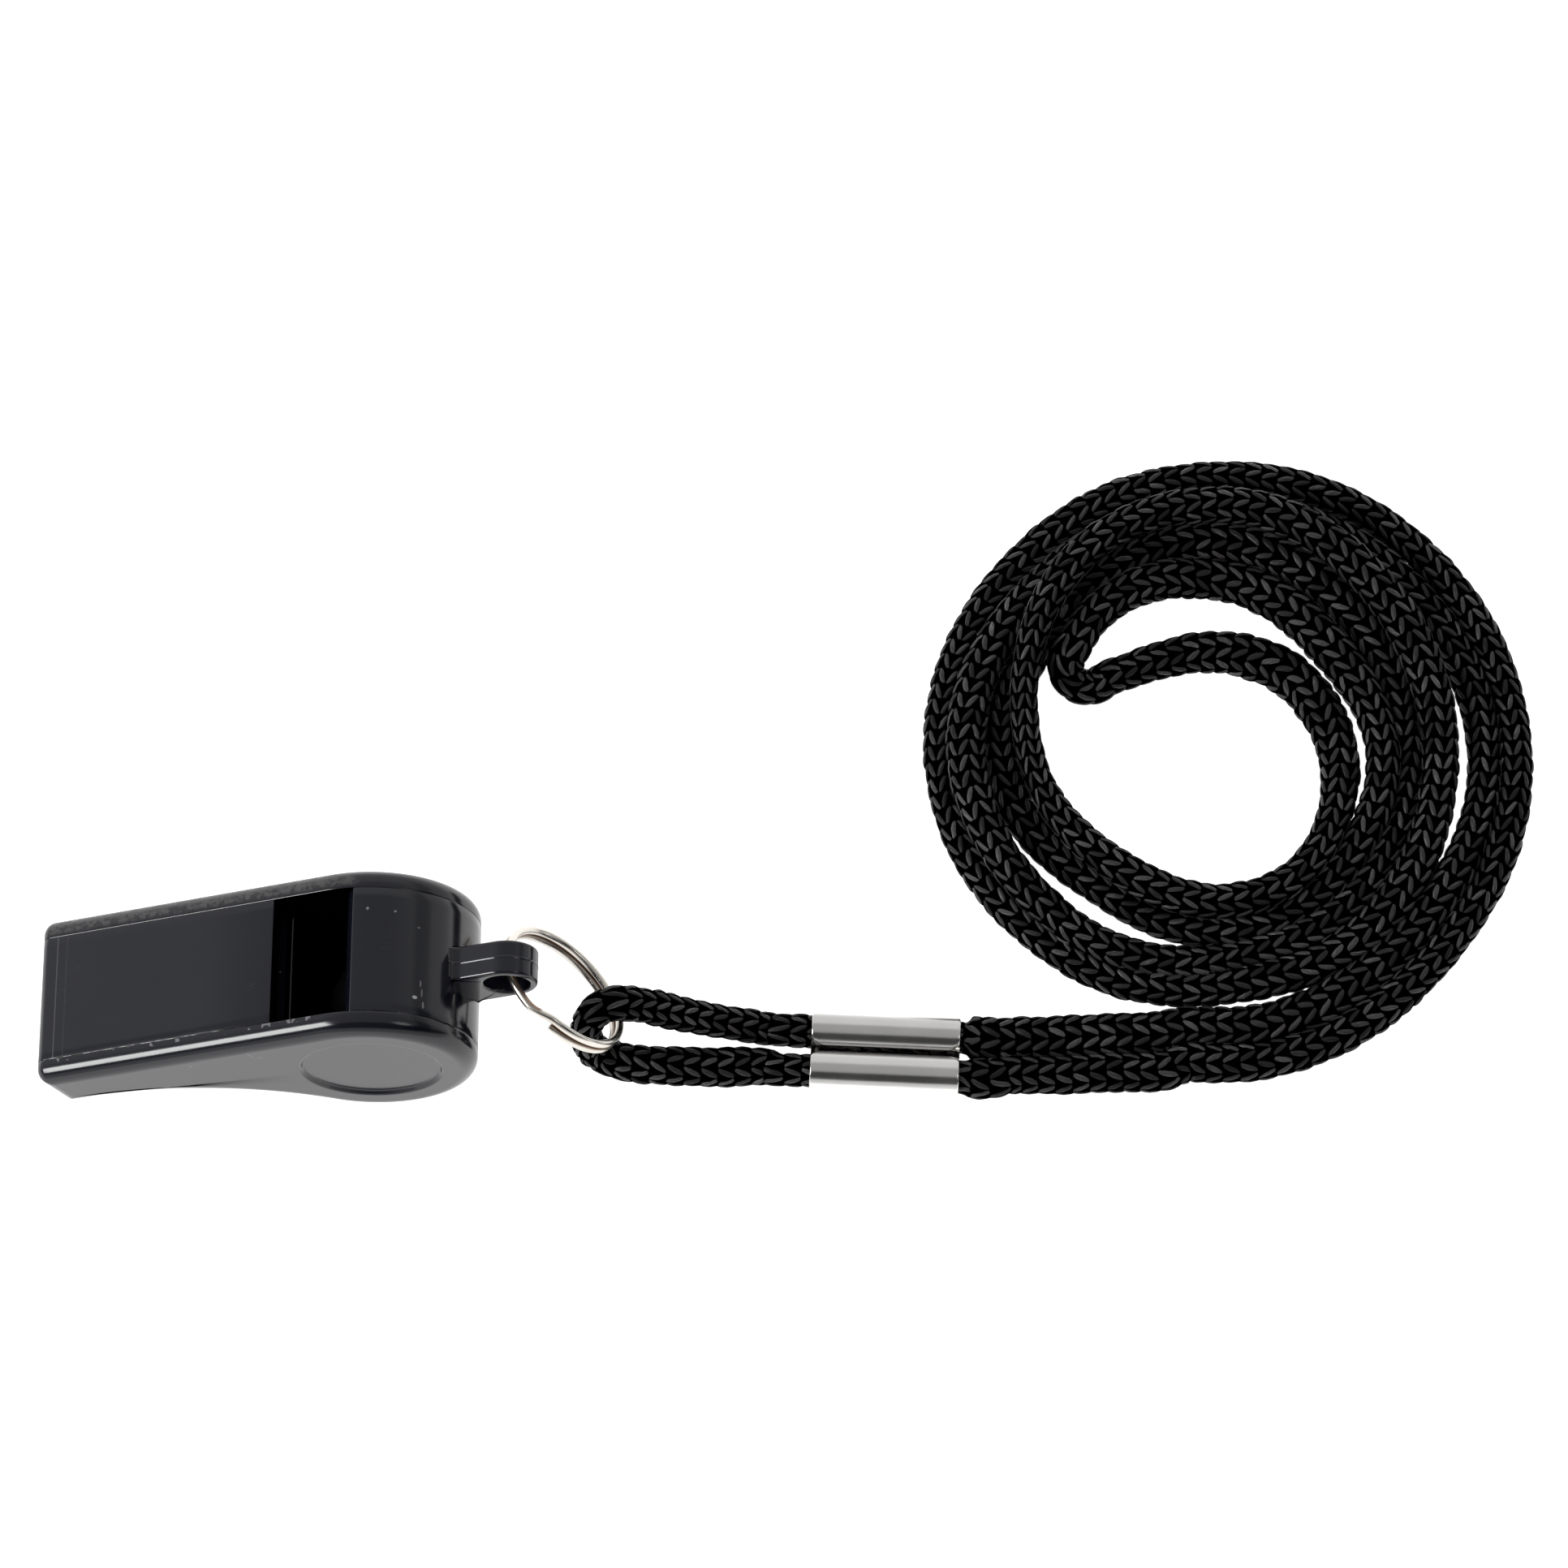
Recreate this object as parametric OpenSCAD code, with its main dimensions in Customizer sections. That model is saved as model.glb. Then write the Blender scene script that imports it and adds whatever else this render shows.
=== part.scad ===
// Pea whistle with a split ring, a cord clip and a coiled neck cord.
// The mouthpiece points to -X and rests on the table, the cord leaves to +X.
// The origin lies on the table, below the middle of the whistle and its ring.

/* [Chamber] */
// Outer radius of the round chamber end
barrel_r = 11; // [10:0.5:12.5]
// Wall round the chamber
barrel_wall = 1.6; // [1.2:0.1:2]
// Width of the centre band, between the side plates
band_w = 13.7; // [12:0.1:16]

/* [Mouthpiece] */
// Length from the chamber's axis to the tip
mouth_len = 34.2; // [30:0.1:38]
// Height of the mouthpiece, over its roof and floor
mouth_h = 7.3; // [6.5:0.1:8.5]
// Length of the straight underside behind the tip
grip_len = 2.7; // [1.5:0.1:6]
// Rounding of the corners at the tip
tip_r = 1.2; // [0.8:0.1:1.6]
// Thickness of the roof over the windway
roof_t = 1.4; // [1:0.1:1.8]
// Height of the windway
windway_h = 1.6; // [1.2:0.1:2]
// Walls of the windway, beside the side plates
windway_wall = 1; // [0.6:0.1:1.6]
// Length over which the windway flares at the tip
flare_len = 3.5; // [2:0.1:6]
// Widening of the windway at the tip, up and down
flare_h = 0.3; // [0.1:0.05:0.5]

/* [Sound window] */
// Distance of the window's front edge before the chamber's axis
window_front = 6.15; // [5.5:0.05:7.5]
// Distance of the lip's edge behind the chamber's axis
window_back = 3; // [2.4:0.05:3.8]
// Length of the bevel on the lip
lip_bevel = 1.3; // [0.6:0.1:1.8]
// Distance of the windway floor's end before the chamber's axis
floor_end = 5.4; // [5:0.1:6]

/* [Side plates] */
// Thickness of a side plate
side_t = 2.3; // [1.8:0.1:3]
// Rounding of a side plate's outer edge
side_edge_r = 1.7; // [1:0.1:2.1]
// Radius of the finger recess
recess_r = 7.3; // [6:0.1:8.5]
// Depth of the finger recess
recess_depth = 0.4; // [0.3:0.1:0.9]
// Hollow fillet between the recess's floor and its wall
recess_fillet = 0.3; // [0.2:0.1:0.9]
// Height of the locating disc that enters the chamber
locator_t = 0.6; // [0.4:0.1:1]
// Play between the locating disc and the chamber wall
locator_play = 0.1; // [0.05:0.05:0.2]

/* [Lug] */
// Distance of the lug's hole behind the chamber's axis
lug_reach = 15.3; // [14.9:0.1:17]
// Distance of the hole below the chamber's axis, square to the roof
lug_drop = 0.6; // [0:0.1:1.5]
// Diameter of the hole
lug_hole_d = 4.8; // [4:0.1:5.2]
// Wall round the hole
lug_wall = 0.8; // [0.6:0.1:1.4]
// Thickness of the lug
lug_t = 3.8; // [3:0.1:4.4]
// Rounding of the hole's rims
lug_rim = 0.3; // [0.1:0.05:0.5]
// Hollow fillet where the lug meets the chamber
lug_fillet = 1.2; // [0.6:0.1:2]

/* [Pea] */
// Diameter of the pea
pea_d = 9.5; // [8:0.1:10.5]
// Play between the pea and the chamber wall
pea_play = 0.15; // [0.05:0.05:0.4]

/* [Split ring] */
// Mean radius of the ring
ring_r = 7.5; // [7:0.1:8.5]
// Diameter of its wire
wire_d = 0.85; // [0.6:0.05:1.1]
// Gap between its two turns
turn_gap = 0.05; // [0.02:0.01:0.1]
// Distance of the wires from the middle of the lug's hole
ring_seat = 0.7; // [0.4:0.1:1]
// Angle at which the ring slants down from its lug
ring_droop = 47; // [44:1:50]
// Sideways lean of the ring
ring_lean = 25; // [22:1:28]
// Arc over which the wire steps from one turn to the other
ring_step_arc = 25; // [20:1:40]

/* [Cord clip] */
// Length of the clip along the cord
clip_len = 15.6; // [12:0.1:18]
// Thickness of its sheet
clip_sheet = 0.4; // [0.3:0.05:0.6]
// Play between the cord and the clip's barrels
clip_play = 0.15; // [0.05:0.05:0.2]
// Distance between the two strands in the clip
clip_pitch = 4.4; // [4.2:0.1:4.8]
// Gap between the two rolled edges
clip_gap = 0.7; // [0.4:0.1:1]
// Rounding of the rolled edges' corners
clip_corner_r = 1; // [0.5:0.1:1.5]

/* [Cord] */
// Diameter of the cord
cord_d = 3.4; // [3.2:0.1:3.5]

/* [Hidden] */
$fn = 96;
// Overrun of every cut
cut = 1;
// Colours
black_plastic = [0.14, 0.15, 0.17];
black_yarn = [0.07, 0.07, 0.08];
nickel = [0.8, 0.79, 0.76];

// Sizes inside the whistle
chamber_r = barrel_r - barrel_wall;
mouth_z = barrel_r - mouth_h;
roof_z = barrel_r - roof_t;
windway_z = roof_z - windway_h;
body_w = band_w + 2 * side_t;
lug_eye_r = lug_hole_d / 2 + lug_wall;
lug_root_r = barrel_r - barrel_wall / 2;
// The plates' edges are rounded by no more than this share of the plate
edge_share = 0.9;
plate_edge_r = min(side_edge_r, edge_share * side_t, edge_share * grip_len);

// The hollow underside is an arc that ends tangent to the chamber
under_x = mouth_len - grip_len;
under_r = (under_x * under_x + mouth_z * mouth_z - barrel_r * barrel_r) / (2 * (barrel_r + mouth_z));
under_angle = atan2(under_r - mouth_z, under_x);

// The whistle leans forward until the lower corner of its tip rests on the table
tip_x = mouth_len - tip_r;
tip_z = mouth_z + tip_r;
tilt = asin((barrel_r - tip_r) / norm([tip_x, tip_z])) + atan2(tip_z, tip_x);

// The middle of the lug's hole, seen from above the table with the chamber's axis at x = 0
lug_x = lug_reach * cos(tilt) + lug_drop * sin(tilt);
lug_z = barrel_r + lug_reach * sin(tilt) - lug_drop * cos(tilt);

// Places along X of the whistle's two ends, with the ring
front_end = -tip_x * cos(tilt) - (barrel_r - tip_r) * sin(tilt) - tip_r;
turn_lift = (wire_d + turn_gap) / 2;
ring_face_x = sin(ring_droop) * cos(ring_lean);
back_end = lug_x + (ring_seat + ring_r) * cos(ring_droop) + ring_r * sqrt(1 - ring_face_x * ring_face_x)
    + turn_lift * ring_face_x + wire_d / 2;
origin_x = (front_end + back_end) / 2;

// The clip lies on the table, turned a little to the front
clip_x = 45.6;
clip_y = -3.2;
clip_turn = -2;
clip_bore_r = cord_d / 2 + clip_play;
clip_r = clip_bore_r + clip_sheet;

// Routes of the cord between its pieces, chosen by hand, from the chamber's axis
eye_route = [[41, -0.6, 2], [37, -0.3, 2.6], [33, -0.1, 4.1], [29.6, -0.1, 6], [26.9, -0.3, 8],
    [24.9, -0.8, 9.2], [23.1, -1.5, 8.8], [22.2, -2.2, 7], [22, -2.8, 4.9], [22.7, -3.5, 2.9],
    [24.7, -4.3, 1.9], [28.1, -4.9, 1.8], [33, -5.2, 1.8], [38, -5.2, 1.8], [41, -5.1, 2]];
front_lead_route = [[67, -5.4, 1.9], [72, -5.2, 1.8], [78, -4.8, 1.8], [82, -4.5, 1.8]];
back_lead_route = [[67, -1.2, 1.9], [72, -0.9, 1.8], [78, -0.5, 1.8], [82, -0.2, 1.8]];

// The coil is a folded loop. Its two strands start side by side at the front, wind inwards
// counter-clockwise and join in a hairpin. The tables give the strand's lane, counted inwards
// from 1, and its height in cord diameters, at every eighth of a turn.
coil_x = 90;
coil_y = 30;
coil_rx = 30.6;
coil_ry = 34.1;
lane_pitch = 1.13 * cord_d;
front_lane_shares = [1, 1.28, 1, 1, 1, 1, 1, 2.1, 3.08, 3.3, 3.12, 2.95, 2.4, 2.45, 3.4, 4.95,
    5.98, 6.38, 6.02, 6.2, 6.35, 5.45, 3.2];
back_lane_shares = [2, 2.28, 2.05, 2.05, 2.05, 2.05, 1.8, 3.12, 4.1, 4.3, 4.09, 3.9, 3.3, 3.1, 2.5, 4.25,
    5.1, 5.36, 4.98, 5.05, 4.5, 3.75, 4.05];
front_lift_shares = [0, 0, 0, 0, 0, 0, 0, 0, 0, 0.1, 0.55, 1.1, 1.3, 1.6, 0.8, 0.85,
    0.6, 0.55, 0.4, 0.1, 0, 0.05, 0.15];
back_lift_shares = [0, 0, 0, 0, 0, 0.4, 0.9, 0.45, 0, 0, 0, 0, 0, 0, 0, 0,
    0, 0.15, 0.55, 0.5, 0.4, 1, 0.8];
turns_end = 21.3;
rings_per_loop = 24;

// The ring's wire starts at this angle, runs round so far and has a section at every step
ring_start = 237;
ring_arc = 670;
ring_step = 10;

// Numbers of faces
wire_sides = 8;
tube_sides = 8;
coil_sides = 6;
arc_step = 6;
rounding_steps = 5;

// Value of a table at a place between its entries, smooth across them
function entry(table, i) = table[max(0, min(len(table) - 1, i))];
function blend(a, b, c, d, f) =
    (2 * b + (c - a) * f + (2 * a - 5 * b + 4 * c - d) * f * f + (3 * b - a - 3 * c + d) * f * f * f) / 2;
function between(table, t) =
    let (i = min(floor(t), len(table) - 2))
    blend(entry(table, i - 1), entry(table, i), entry(table, i + 1), entry(table, i + 2), t - i);

// A route with extra points, smooth through the given ones
function smooth(route, steps) =
    [for (k = [0 : (len(route) - 1) * steps]) between(route, k / steps)];

// Tube of a given radius along a path. Its side faces are triangles, its ends are flat.
function unit(v) = v / norm(v);
function heading(path, i) =
    unit(path[min(i + 1, len(path) - 1)] - path[max(i - 1, 0)]);
function ring_points(centre, along, r, sides) =
    let (side = unit(cross([0, 0, 1], along)), up = cross(along, side))
    [for (k = [0 : sides - 1]) centre + r * (cos(360 * k / sides) * side + sin(360 * k / sides) * up)];

module tube(path, r, sides) {
    rings = [for (i = [0 : len(path) - 1]) ring_points(path[i], heading(path, i), r, sides)];
    stack_rings(rings);
}

// Closed solid through rings that all have the same number of points
module stack_rings(rings) {
    n = len(rings[0]);
    last = len(rings) - 1;
    side_faces = [for (i = [0 : last - 1], k = [0 : n - 1], f = [0, 1])
        let (a = i * n + k, b = i * n + (k + 1) % n)
        f == 0 ? [a, a + n, b] : [b, a + n, b + n]];
    start_face = [[for (k = [0 : n - 1]) k]];
    end_face = [[for (k = [n - 1 : -1 : 0]) last * n + k]];
    polyhedron(points = [for (ring = rings) each ring], faces = concat(side_faces, start_face, end_face));
}

// The whistle's side view, seen with its roof level and the chamber's axis at the middle
module outline() {
    difference() {
        union() {
            circle(barrel_r);
            polygon([[0, barrel_r], [-tip_x, barrel_r], [-mouth_len, barrel_r - tip_r], [-mouth_len, tip_z],
                [-tip_x, mouth_z], [-under_x, mouth_z], tangent_point()]);
            for (z = [barrel_r - tip_r, tip_z])
                translate([-tip_x, z])
                    circle(tip_r);
        }
        translate([-under_x, mouth_z - under_r])
            circle(under_r);
    }
}

function tangent_point() = -barrel_r * [cos(under_angle), sin(under_angle)];

// Places a side view, drawn level, upright in the leaning whistle, as thick as given
module stand(thickness) {
    lean()
        rotate([90, 0, 0])
            linear_extrude(thickness, center = true)
                children();
}

module lean() {
    translate([-origin_x, 0, barrel_r])
        rotate([0, -tilt, 0])
            children();
}

// The windway flares towards the tip, and its walls run on in the same slope beyond it
module windway() {
    rise = flare_h * (flare_len + cut) / flare_len;
    polygon([[-mouth_len - cut, windway_z - rise], [-mouth_len + flare_len, windway_z],
        [-window_front, windway_z], [-window_front, roof_z],
        [-mouth_len + flare_len, roof_z], [-mouth_len - cut, roof_z + rise]]);
}

// The window is as wide as the band. Its front edge is square, its back edge a bevelled lip, whose
// bevel runs on past both surfaces of the wall.
module sound_window() {
    edge_x = window_back - lip_bevel;
    edge = [edge_x, sqrt(chamber_r * chamber_r - edge_x * edge_x)];
    top = [window_back, sqrt(barrel_r * barrel_r - window_back * window_back)];
    overrun = cut * unit(top - edge);
    polygon([[-window_front, windway_z], [-window_front, barrel_r + cut], top + overrun, edge - overrun,
        [0, 0], [-floor_end, 0], [-floor_end, windway_z]]);
}

module centre_band() {
    color(black_plastic) {
        difference() {
            stand(band_w)
                difference() {
                    outline();
                    circle(chamber_r);
                    sound_window();
                }
            stand(band_w - 2 * windway_wall)
                windway();
        }
        lug();
    }
}

// The lug is a flat tab with a round eye, moulded on the chamber's wall
module lug() {
    difference() {
        stand(lug_t)
            lug_outline();
        lean()
            translate([lug_reach, 0, -lug_drop])
                rotate([90, 0, 0])
                    eye_bore();
    }
}

module lug_outline() {
    difference() {
        union() {
            translate([lug_reach, -lug_drop])
                circle(lug_eye_r);
            translate([0, -lug_drop - lug_eye_r])
                square([lug_reach, 2 * lug_eye_r]);
        }
        circle(lug_root_r);
    }
    for (side = [-1, 1])
        lug_corner(side);
}

// Fills the corner between the tab's edge and the chamber's wall, with a hollow round
module lug_corner(side) {
    edge = side * lug_eye_r - lug_drop;
    middle_z = edge + side * lug_fillet;
    middle = [sqrt(pow(barrel_r + lug_fillet, 2) - middle_z * middle_z), middle_z];
    difference() {
        polygon([middle, [middle[0], edge], [sqrt(lug_root_r * lug_root_r - edge * edge), edge],
            barrel_r * unit(middle)]);
        translate(middle)
            circle(lug_fillet);
    }
}

// The hole through the lug, with rounded rims
module eye_bore() {
    hole_r = lug_hole_d / 2;
    cylinder(r = hole_r, h = lug_t + 2 * cut, center = true);
    for (end = [0, 1])
        mirror([0, 0, end])
            translate([0, 0, lug_t / 2 - lug_rim])
                rotate_extrude()
                    difference() {
                        square([hole_r + lug_rim, lug_rim + cut]);
                        translate([hole_r + lug_rim, 0])
                            circle(lug_rim);
                    }
}

// Points round the side view, moved inwards by an inset, for the rounded side plates. The corners
// at the tip keep a small radius, however far the inset goes.
function arc_points(centre, r, from, to) =
    let (n = max(2, ceil(abs(to - from) / arc_step)))
    [for (k = [0 : n]) let (a = from + (to - from) * k / n) centre + r * [cos(a), sin(a)]];
function corner_r(inset) = max(tip_r - inset, (1 - edge_share) * tip_r);
function outline_points(inset) =
    let (r = corner_r(inset), x = inset + r - mouth_len)
    concat(
        arc_points([0, 0], barrel_r - inset, under_angle - 180, 90),
        arc_points([x, barrel_r - inset - r], r, 90, 180),
        arc_points([x, mouth_z + inset + r], r, 180, 270),
        shorten(arc_points([-under_x, mouth_z - under_r], under_r + inset, 90, under_angle)));
function shorten(list) = [for (k = [0 : len(list) - 2]) list[k]];

module side_plate() {
    levels = concat(
        [for (k = [0 : rounding_steps]) let (a = 90 * (1 - k / rounding_steps))
            [side_t - plate_edge_r * (1 - sin(a)), plate_edge_r * (1 - cos(a))]],
        [[0, 0]]);
    difference() {
        union() {
            stack_rings([for (level = levels)
                [for (p = outline_points(level[1])) [p[0], band_w / 2 + level[0], p[1]]]]);
            translate([0, band_w / 2 - locator_t, 0])
                rotate([-90, 0, 0])
                    cylinder(r = chamber_r - locator_play, h = locator_t + side_t / 2);
        }
        finger_recess();
    }
}

// The recess is a stack of rings like the plate itself: a short wall and a hollow fillet
module finger_recess() {
    levels = concat([[recess_r, cut]],
        [for (k = [0 : rounding_steps]) let (a = 90 * k / rounding_steps)
            [recess_r - recess_fillet * (1 - cos(a)), recess_fillet * (1 - sin(a)) - recess_depth]]);
    stack_rings([for (level = levels)
        [for (a = [0 : arc_step : 360 - arc_step])
            [level[0] * cos(a), body_w / 2 + level[1], level[0] * sin(a)]]]);
}

module front_side_plate() {
    color(black_plastic)
        lean()
            mirror([0, 1, 0])
                side_plate();
}

module back_side_plate() {
    color(black_plastic)
        lean()
            side_plate();
}

// The pea lies loose at the bottom of the chamber
module pea() {
    color(black_plastic)
        translate([-origin_x, 0, barrel_r - chamber_r + pea_d / 2 + pea_play])
            sphere(d = pea_d);
}

// The ring is nearly two turns of one wire, side by side, that change places over a short step
module split_ring() {
    path = [for (a = [0 : ring_step : ring_arc])
        let (share = max(0, min(1, (a - 360 + ring_step_arc) / ring_step_arc)))
        [ring_r * cos(ring_start + a), ring_r * sin(ring_start + a), turn_lift * (2 * smoothstep(share) - 1)]];
    color(nickel)
        translate([lug_x - origin_x, 0, lug_z])
            rotate([0, ring_droop, 0])
                rotate([-ring_lean, 0, 0])
                    translate([ring_seat + ring_r, 0, 0])
                        tube(path, wire_d / 2, wire_sides);
}

function smoothstep(t) = t * t * (3 - 2 * t);

// Place in the clip: so far along it, beside its middle line, at the cord's height
function clip_point(along, aside) =
    [clip_x + along * cos(clip_turn) - aside * sin(clip_turn),
        clip_y + along * sin(clip_turn) + aside * cos(clip_turn), clip_r];

// The clip is one sheet: a flat base whose two sides are rolled over the strands
module cord_clip() {
    color(nickel)
        translate([clip_x - origin_x, clip_y, 0])
            rotate([0, 0, clip_turn])
                difference() {
                    rotate([90, 0, 90])
                        linear_extrude(clip_len)
                            clip_section();
                    for (end = [0, 1], side = [0, 1])
                        translate([end * clip_len, 0, clip_r])
                            mirror([end, 0, 0])
                                mirror([0, side, 0])
                                    clip_corner();
                }
}

module clip_section() {
    difference() {
        union() {
            for (side = [-1, 1])
                translate([side * clip_pitch / 2, clip_r])
                    circle(clip_r);
            translate([-clip_pitch / 2, 0])
                square([clip_pitch, clip_r]);
        }
        for (side = [-1, 1])
            translate([side * clip_pitch / 2, clip_r])
                circle(clip_bore_r);
        translate([-clip_pitch / 2, clip_sheet])
            square([clip_pitch, clip_r - clip_sheet]);
        translate([-clip_gap / 2, clip_sheet])
            square([clip_gap, 2 * clip_r]);
    }
}

// Rounds one corner of a rolled edge
module clip_corner() {
    translate([-cut, clip_gap / 2 - cut, 0])
        difference() {
            cube([clip_corner_r + cut, clip_corner_r + cut, clip_r + cut]);
            translate([clip_corner_r + cut, clip_corner_r + cut, -cut])
                cylinder(r = clip_corner_r, h = clip_r + 3 * cut);
        }
}

// The short loop of cord that holds the ring. Both its ends enter the clip.
module cord_eye() {
    aside = clip_pitch / 2;
    route = concat([clip_point(0, aside), clip_point(-cord_d, aside)], eye_route,
        [clip_point(-cord_d, -aside), clip_point(0, -aside)]);
    color(black_yarn)
        translate([-origin_x, 0, 0])
            tube(smooth(route, 3), cord_d / 2, tube_sides);
}

// A strand from the clip's front face, through the clip, to the coil
module cord_lead(side, route, table) {
    aside = side * clip_pitch / 2;
    start = coil_start(table);
    through = [for (k = [0 : 2]) clip_point(clip_len * k / 2, aside)];
    points = concat(through, [clip_point(clip_len + cord_d, aside)], route,
        [start - [cord_d / 2, 0, 0], start]);
    color(black_yarn)
        translate([-origin_x, 0, 0])
            tube(smooth(points, 2), cord_d / 2, tube_sides);
}

module front_cord_lead() {
    cord_lead(-1, front_lead_route, front_lane_shares);
}

module back_cord_lead() {
    cord_lead(1, back_lead_route, back_lane_shares);
}

// Place of a strand in the coil, so many eighths of a turn from its start
function coil_point(lanes, lifts, t) =
    let (a = 45 * t - 90, inwards = (between(lanes, t) - 1) * lane_pitch)
    [coil_x + (coil_rx - inwards) * cos(a), coil_y + (coil_ry - inwards) * sin(a),
        cord_d * (0.5 + max(0, between(lifts, t)))];
function coil_start(lanes) = coil_point(lanes, [0, 0], 0) - [cord_d, 0, 0];
function strand(lanes, lifts, per_loop) =
    let (n = round(turns_end / 8 * per_loop))
    concat([coil_start(lanes), coil_start(lanes) + [cord_d / 2, 0, 0]],
        [for (k = [0 : n]) coil_point(lanes, lifts, turns_end * k / n)]);
function hairpin(a, b, along, steps) =
    let (mid = (a + b) / 2, out = a - mid, ahead = unit(along - (along * out) / (out * out) * out) * norm(out))
    [for (k = [1 : steps - 1]) mid + out * cos(180 * k / steps) + ahead * sin(180 * k / steps)];
function reverse(list) = [for (k = [len(list) - 1 : -1 : 0]) list[k]];
function coil_path(per_loop) =
    let (a = strand(front_lane_shares, front_lift_shares, per_loop),
        b = strand(back_lane_shares, back_lift_shares, per_loop),
        n = len(a) - 1)
    concat(a, hairpin(a[n], b[n], a[n] - a[n - 1], per_loop / 4), reverse(b));

module neck_coil() {
    color(black_yarn)
        translate([-origin_x, 0, 0])
            tube(coil_path(rings_per_loop), cord_d / 2, coil_sides);
}

// Least free gap between the coil's strands, measured on points taken closer. Points of the same
// stretch, less than a quarter of a loop apart, are left out.
measure_per_loop = 4 * rings_per_loop;
fine_path = coil_path(measure_per_loop);
same_stretch = measure_per_loop / 4;
gaps = [for (i = [0 : len(fine_path) - 1 - same_stretch])
    min([for (k = [i + same_stretch : len(fine_path) - 1]) norm(fine_path[i] - fine_path[k])]) - cord_d];
echo("least gap between the coil's strands, in mm", min(gaps));

centre_band();
front_side_plate();
back_side_plate();
pea();
split_ring();
cord_clip();
cord_eye();
front_cord_lead();
back_cord_lead();
neck_coil();
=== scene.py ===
# %% [markdown]
# # Dressing a pea whistle and its neck cord
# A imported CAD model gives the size, the place and the joints of every part of this whistle. This
# lesson puts finished surfaces on that fixed frame: moulded black plastic, nickel-plated wire and
# sheet, and a knitted cord. The frame is loaded first, because every surface has to fit it.

# %% Load the fixed frame
import math

import bpy
import numpy as np
from mathutils import Euler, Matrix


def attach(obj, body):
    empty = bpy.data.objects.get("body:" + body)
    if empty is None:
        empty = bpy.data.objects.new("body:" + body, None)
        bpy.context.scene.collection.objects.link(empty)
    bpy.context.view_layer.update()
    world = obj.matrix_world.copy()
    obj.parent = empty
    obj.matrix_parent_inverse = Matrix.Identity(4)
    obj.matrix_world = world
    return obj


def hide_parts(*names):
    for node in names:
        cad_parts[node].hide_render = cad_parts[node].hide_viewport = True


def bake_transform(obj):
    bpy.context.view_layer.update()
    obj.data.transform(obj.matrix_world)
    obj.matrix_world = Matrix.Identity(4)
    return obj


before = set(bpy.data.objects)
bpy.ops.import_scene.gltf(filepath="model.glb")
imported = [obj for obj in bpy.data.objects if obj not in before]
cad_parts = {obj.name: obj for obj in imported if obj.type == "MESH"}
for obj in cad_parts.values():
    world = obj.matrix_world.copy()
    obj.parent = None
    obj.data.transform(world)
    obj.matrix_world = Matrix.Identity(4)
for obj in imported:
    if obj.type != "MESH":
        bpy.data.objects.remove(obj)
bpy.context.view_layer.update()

# %% [markdown]
# ## The numbers of the whistle
# A real whistle is drawn once, and every tool that makes it works from that drawing. The same
# holds here: the numbers below are the named values of the CAD source, in millimetres, and every
# surface is worked out from them. One function then leans the whistle forward onto the table and
# turns millimetres into the metres that Blender uses.

# %% Named values of the CAD source, in millimetres
MM = 0.001
barrel_r, barrel_wall, band_w = 11.0, 1.6, 13.7
mouth_len, mouth_h, grip_len, tip_r = 34.2, 7.3, 2.7, 1.2
roof_t, windway_h, windway_wall, flare_len, flare_h = 1.4, 1.6, 1.0, 3.5, 0.3
window_front, window_back, lip_bevel, floor_end = 6.15, 3.0, 1.3, 5.4
side_t, edge_r, recess_r, recess_depth = 2.3, 1.7, 7.3, 0.4
locator_t, locator_play = 0.6, 0.1
lug_reach, lug_drop, lug_hole_r, lug_wall, lug_t, lug_fillet = 15.3, 0.6, 2.4, 0.8, 3.8, 1.2
pea_d, pea_play = 9.5, 0.15
ring_r, wire_d, turn_gap, ring_seat = 7.5, 0.85, 0.05, 0.7
ring_droop, ring_lean, ring_step_arc, ring_start, ring_arc = 47, 25, 25, 237, 670
clip_len, clip_sheet, clip_play, clip_pitch, clip_gap, clip_corner_r = 15.6, 0.4, 0.15, 4.4, 0.7, 1.0
cord_d = 3.4

chamber_r = barrel_r - barrel_wall
mouth_z = barrel_r - mouth_h
roof_z = barrel_r - roof_t
windway_z = roof_z - windway_h
body_w = band_w + 2 * side_t
under_x = mouth_len - grip_len
under_r = (under_x**2 + mouth_z**2 - barrel_r**2) / (2 * (barrel_r + mouth_z))
under_angle = math.degrees(math.atan2(under_r - mouth_z, under_x))
tip_x, tip_z = mouth_len - tip_r, mouth_z + tip_r
tilt = math.asin((barrel_r - tip_r) / math.hypot(tip_x, tip_z)) + math.atan2(tip_z, tip_x)
print("The whistle leans by", round(math.degrees(tilt), 2), "degrees")

# %% Places in the row frame
lug_x = lug_reach * math.cos(tilt) + lug_drop * math.sin(tilt)
lug_z = barrel_r + lug_reach * math.sin(tilt) - lug_drop * math.cos(tilt)
turn_lift = (wire_d + turn_gap) / 2
face_x = math.sin(math.radians(ring_droop)) * math.cos(math.radians(ring_lean))
front_end = -tip_x * math.cos(tilt) - (barrel_r - tip_r) * math.sin(tilt) - tip_r
back_end = (
    lug_x + (ring_seat + ring_r) * math.cos(math.radians(ring_droop))
    + ring_r * math.sqrt(1 - face_x**2) + turn_lift * face_x + wire_d / 2
)
origin_x = (front_end + back_end) / 2


def together(*parts):
    """One array of points, or of places in a field, from its coordinates."""
    return np.stack(np.broadcast_arrays(*parts), -1)


def lean(x, y, z):
    """From the whistle's own frame, roof level and chamber axis at zero, to the row frame: a turn
    about Y by the tilt, x' = x cos - z sin and z' = x sin + z cos, then a lift by the barrel's radius."""
    c, s = math.cos(tilt), math.sin(tilt)
    return together(x * c - z * s - origin_x, y, x * s + z * c + barrel_r) * MM


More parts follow.
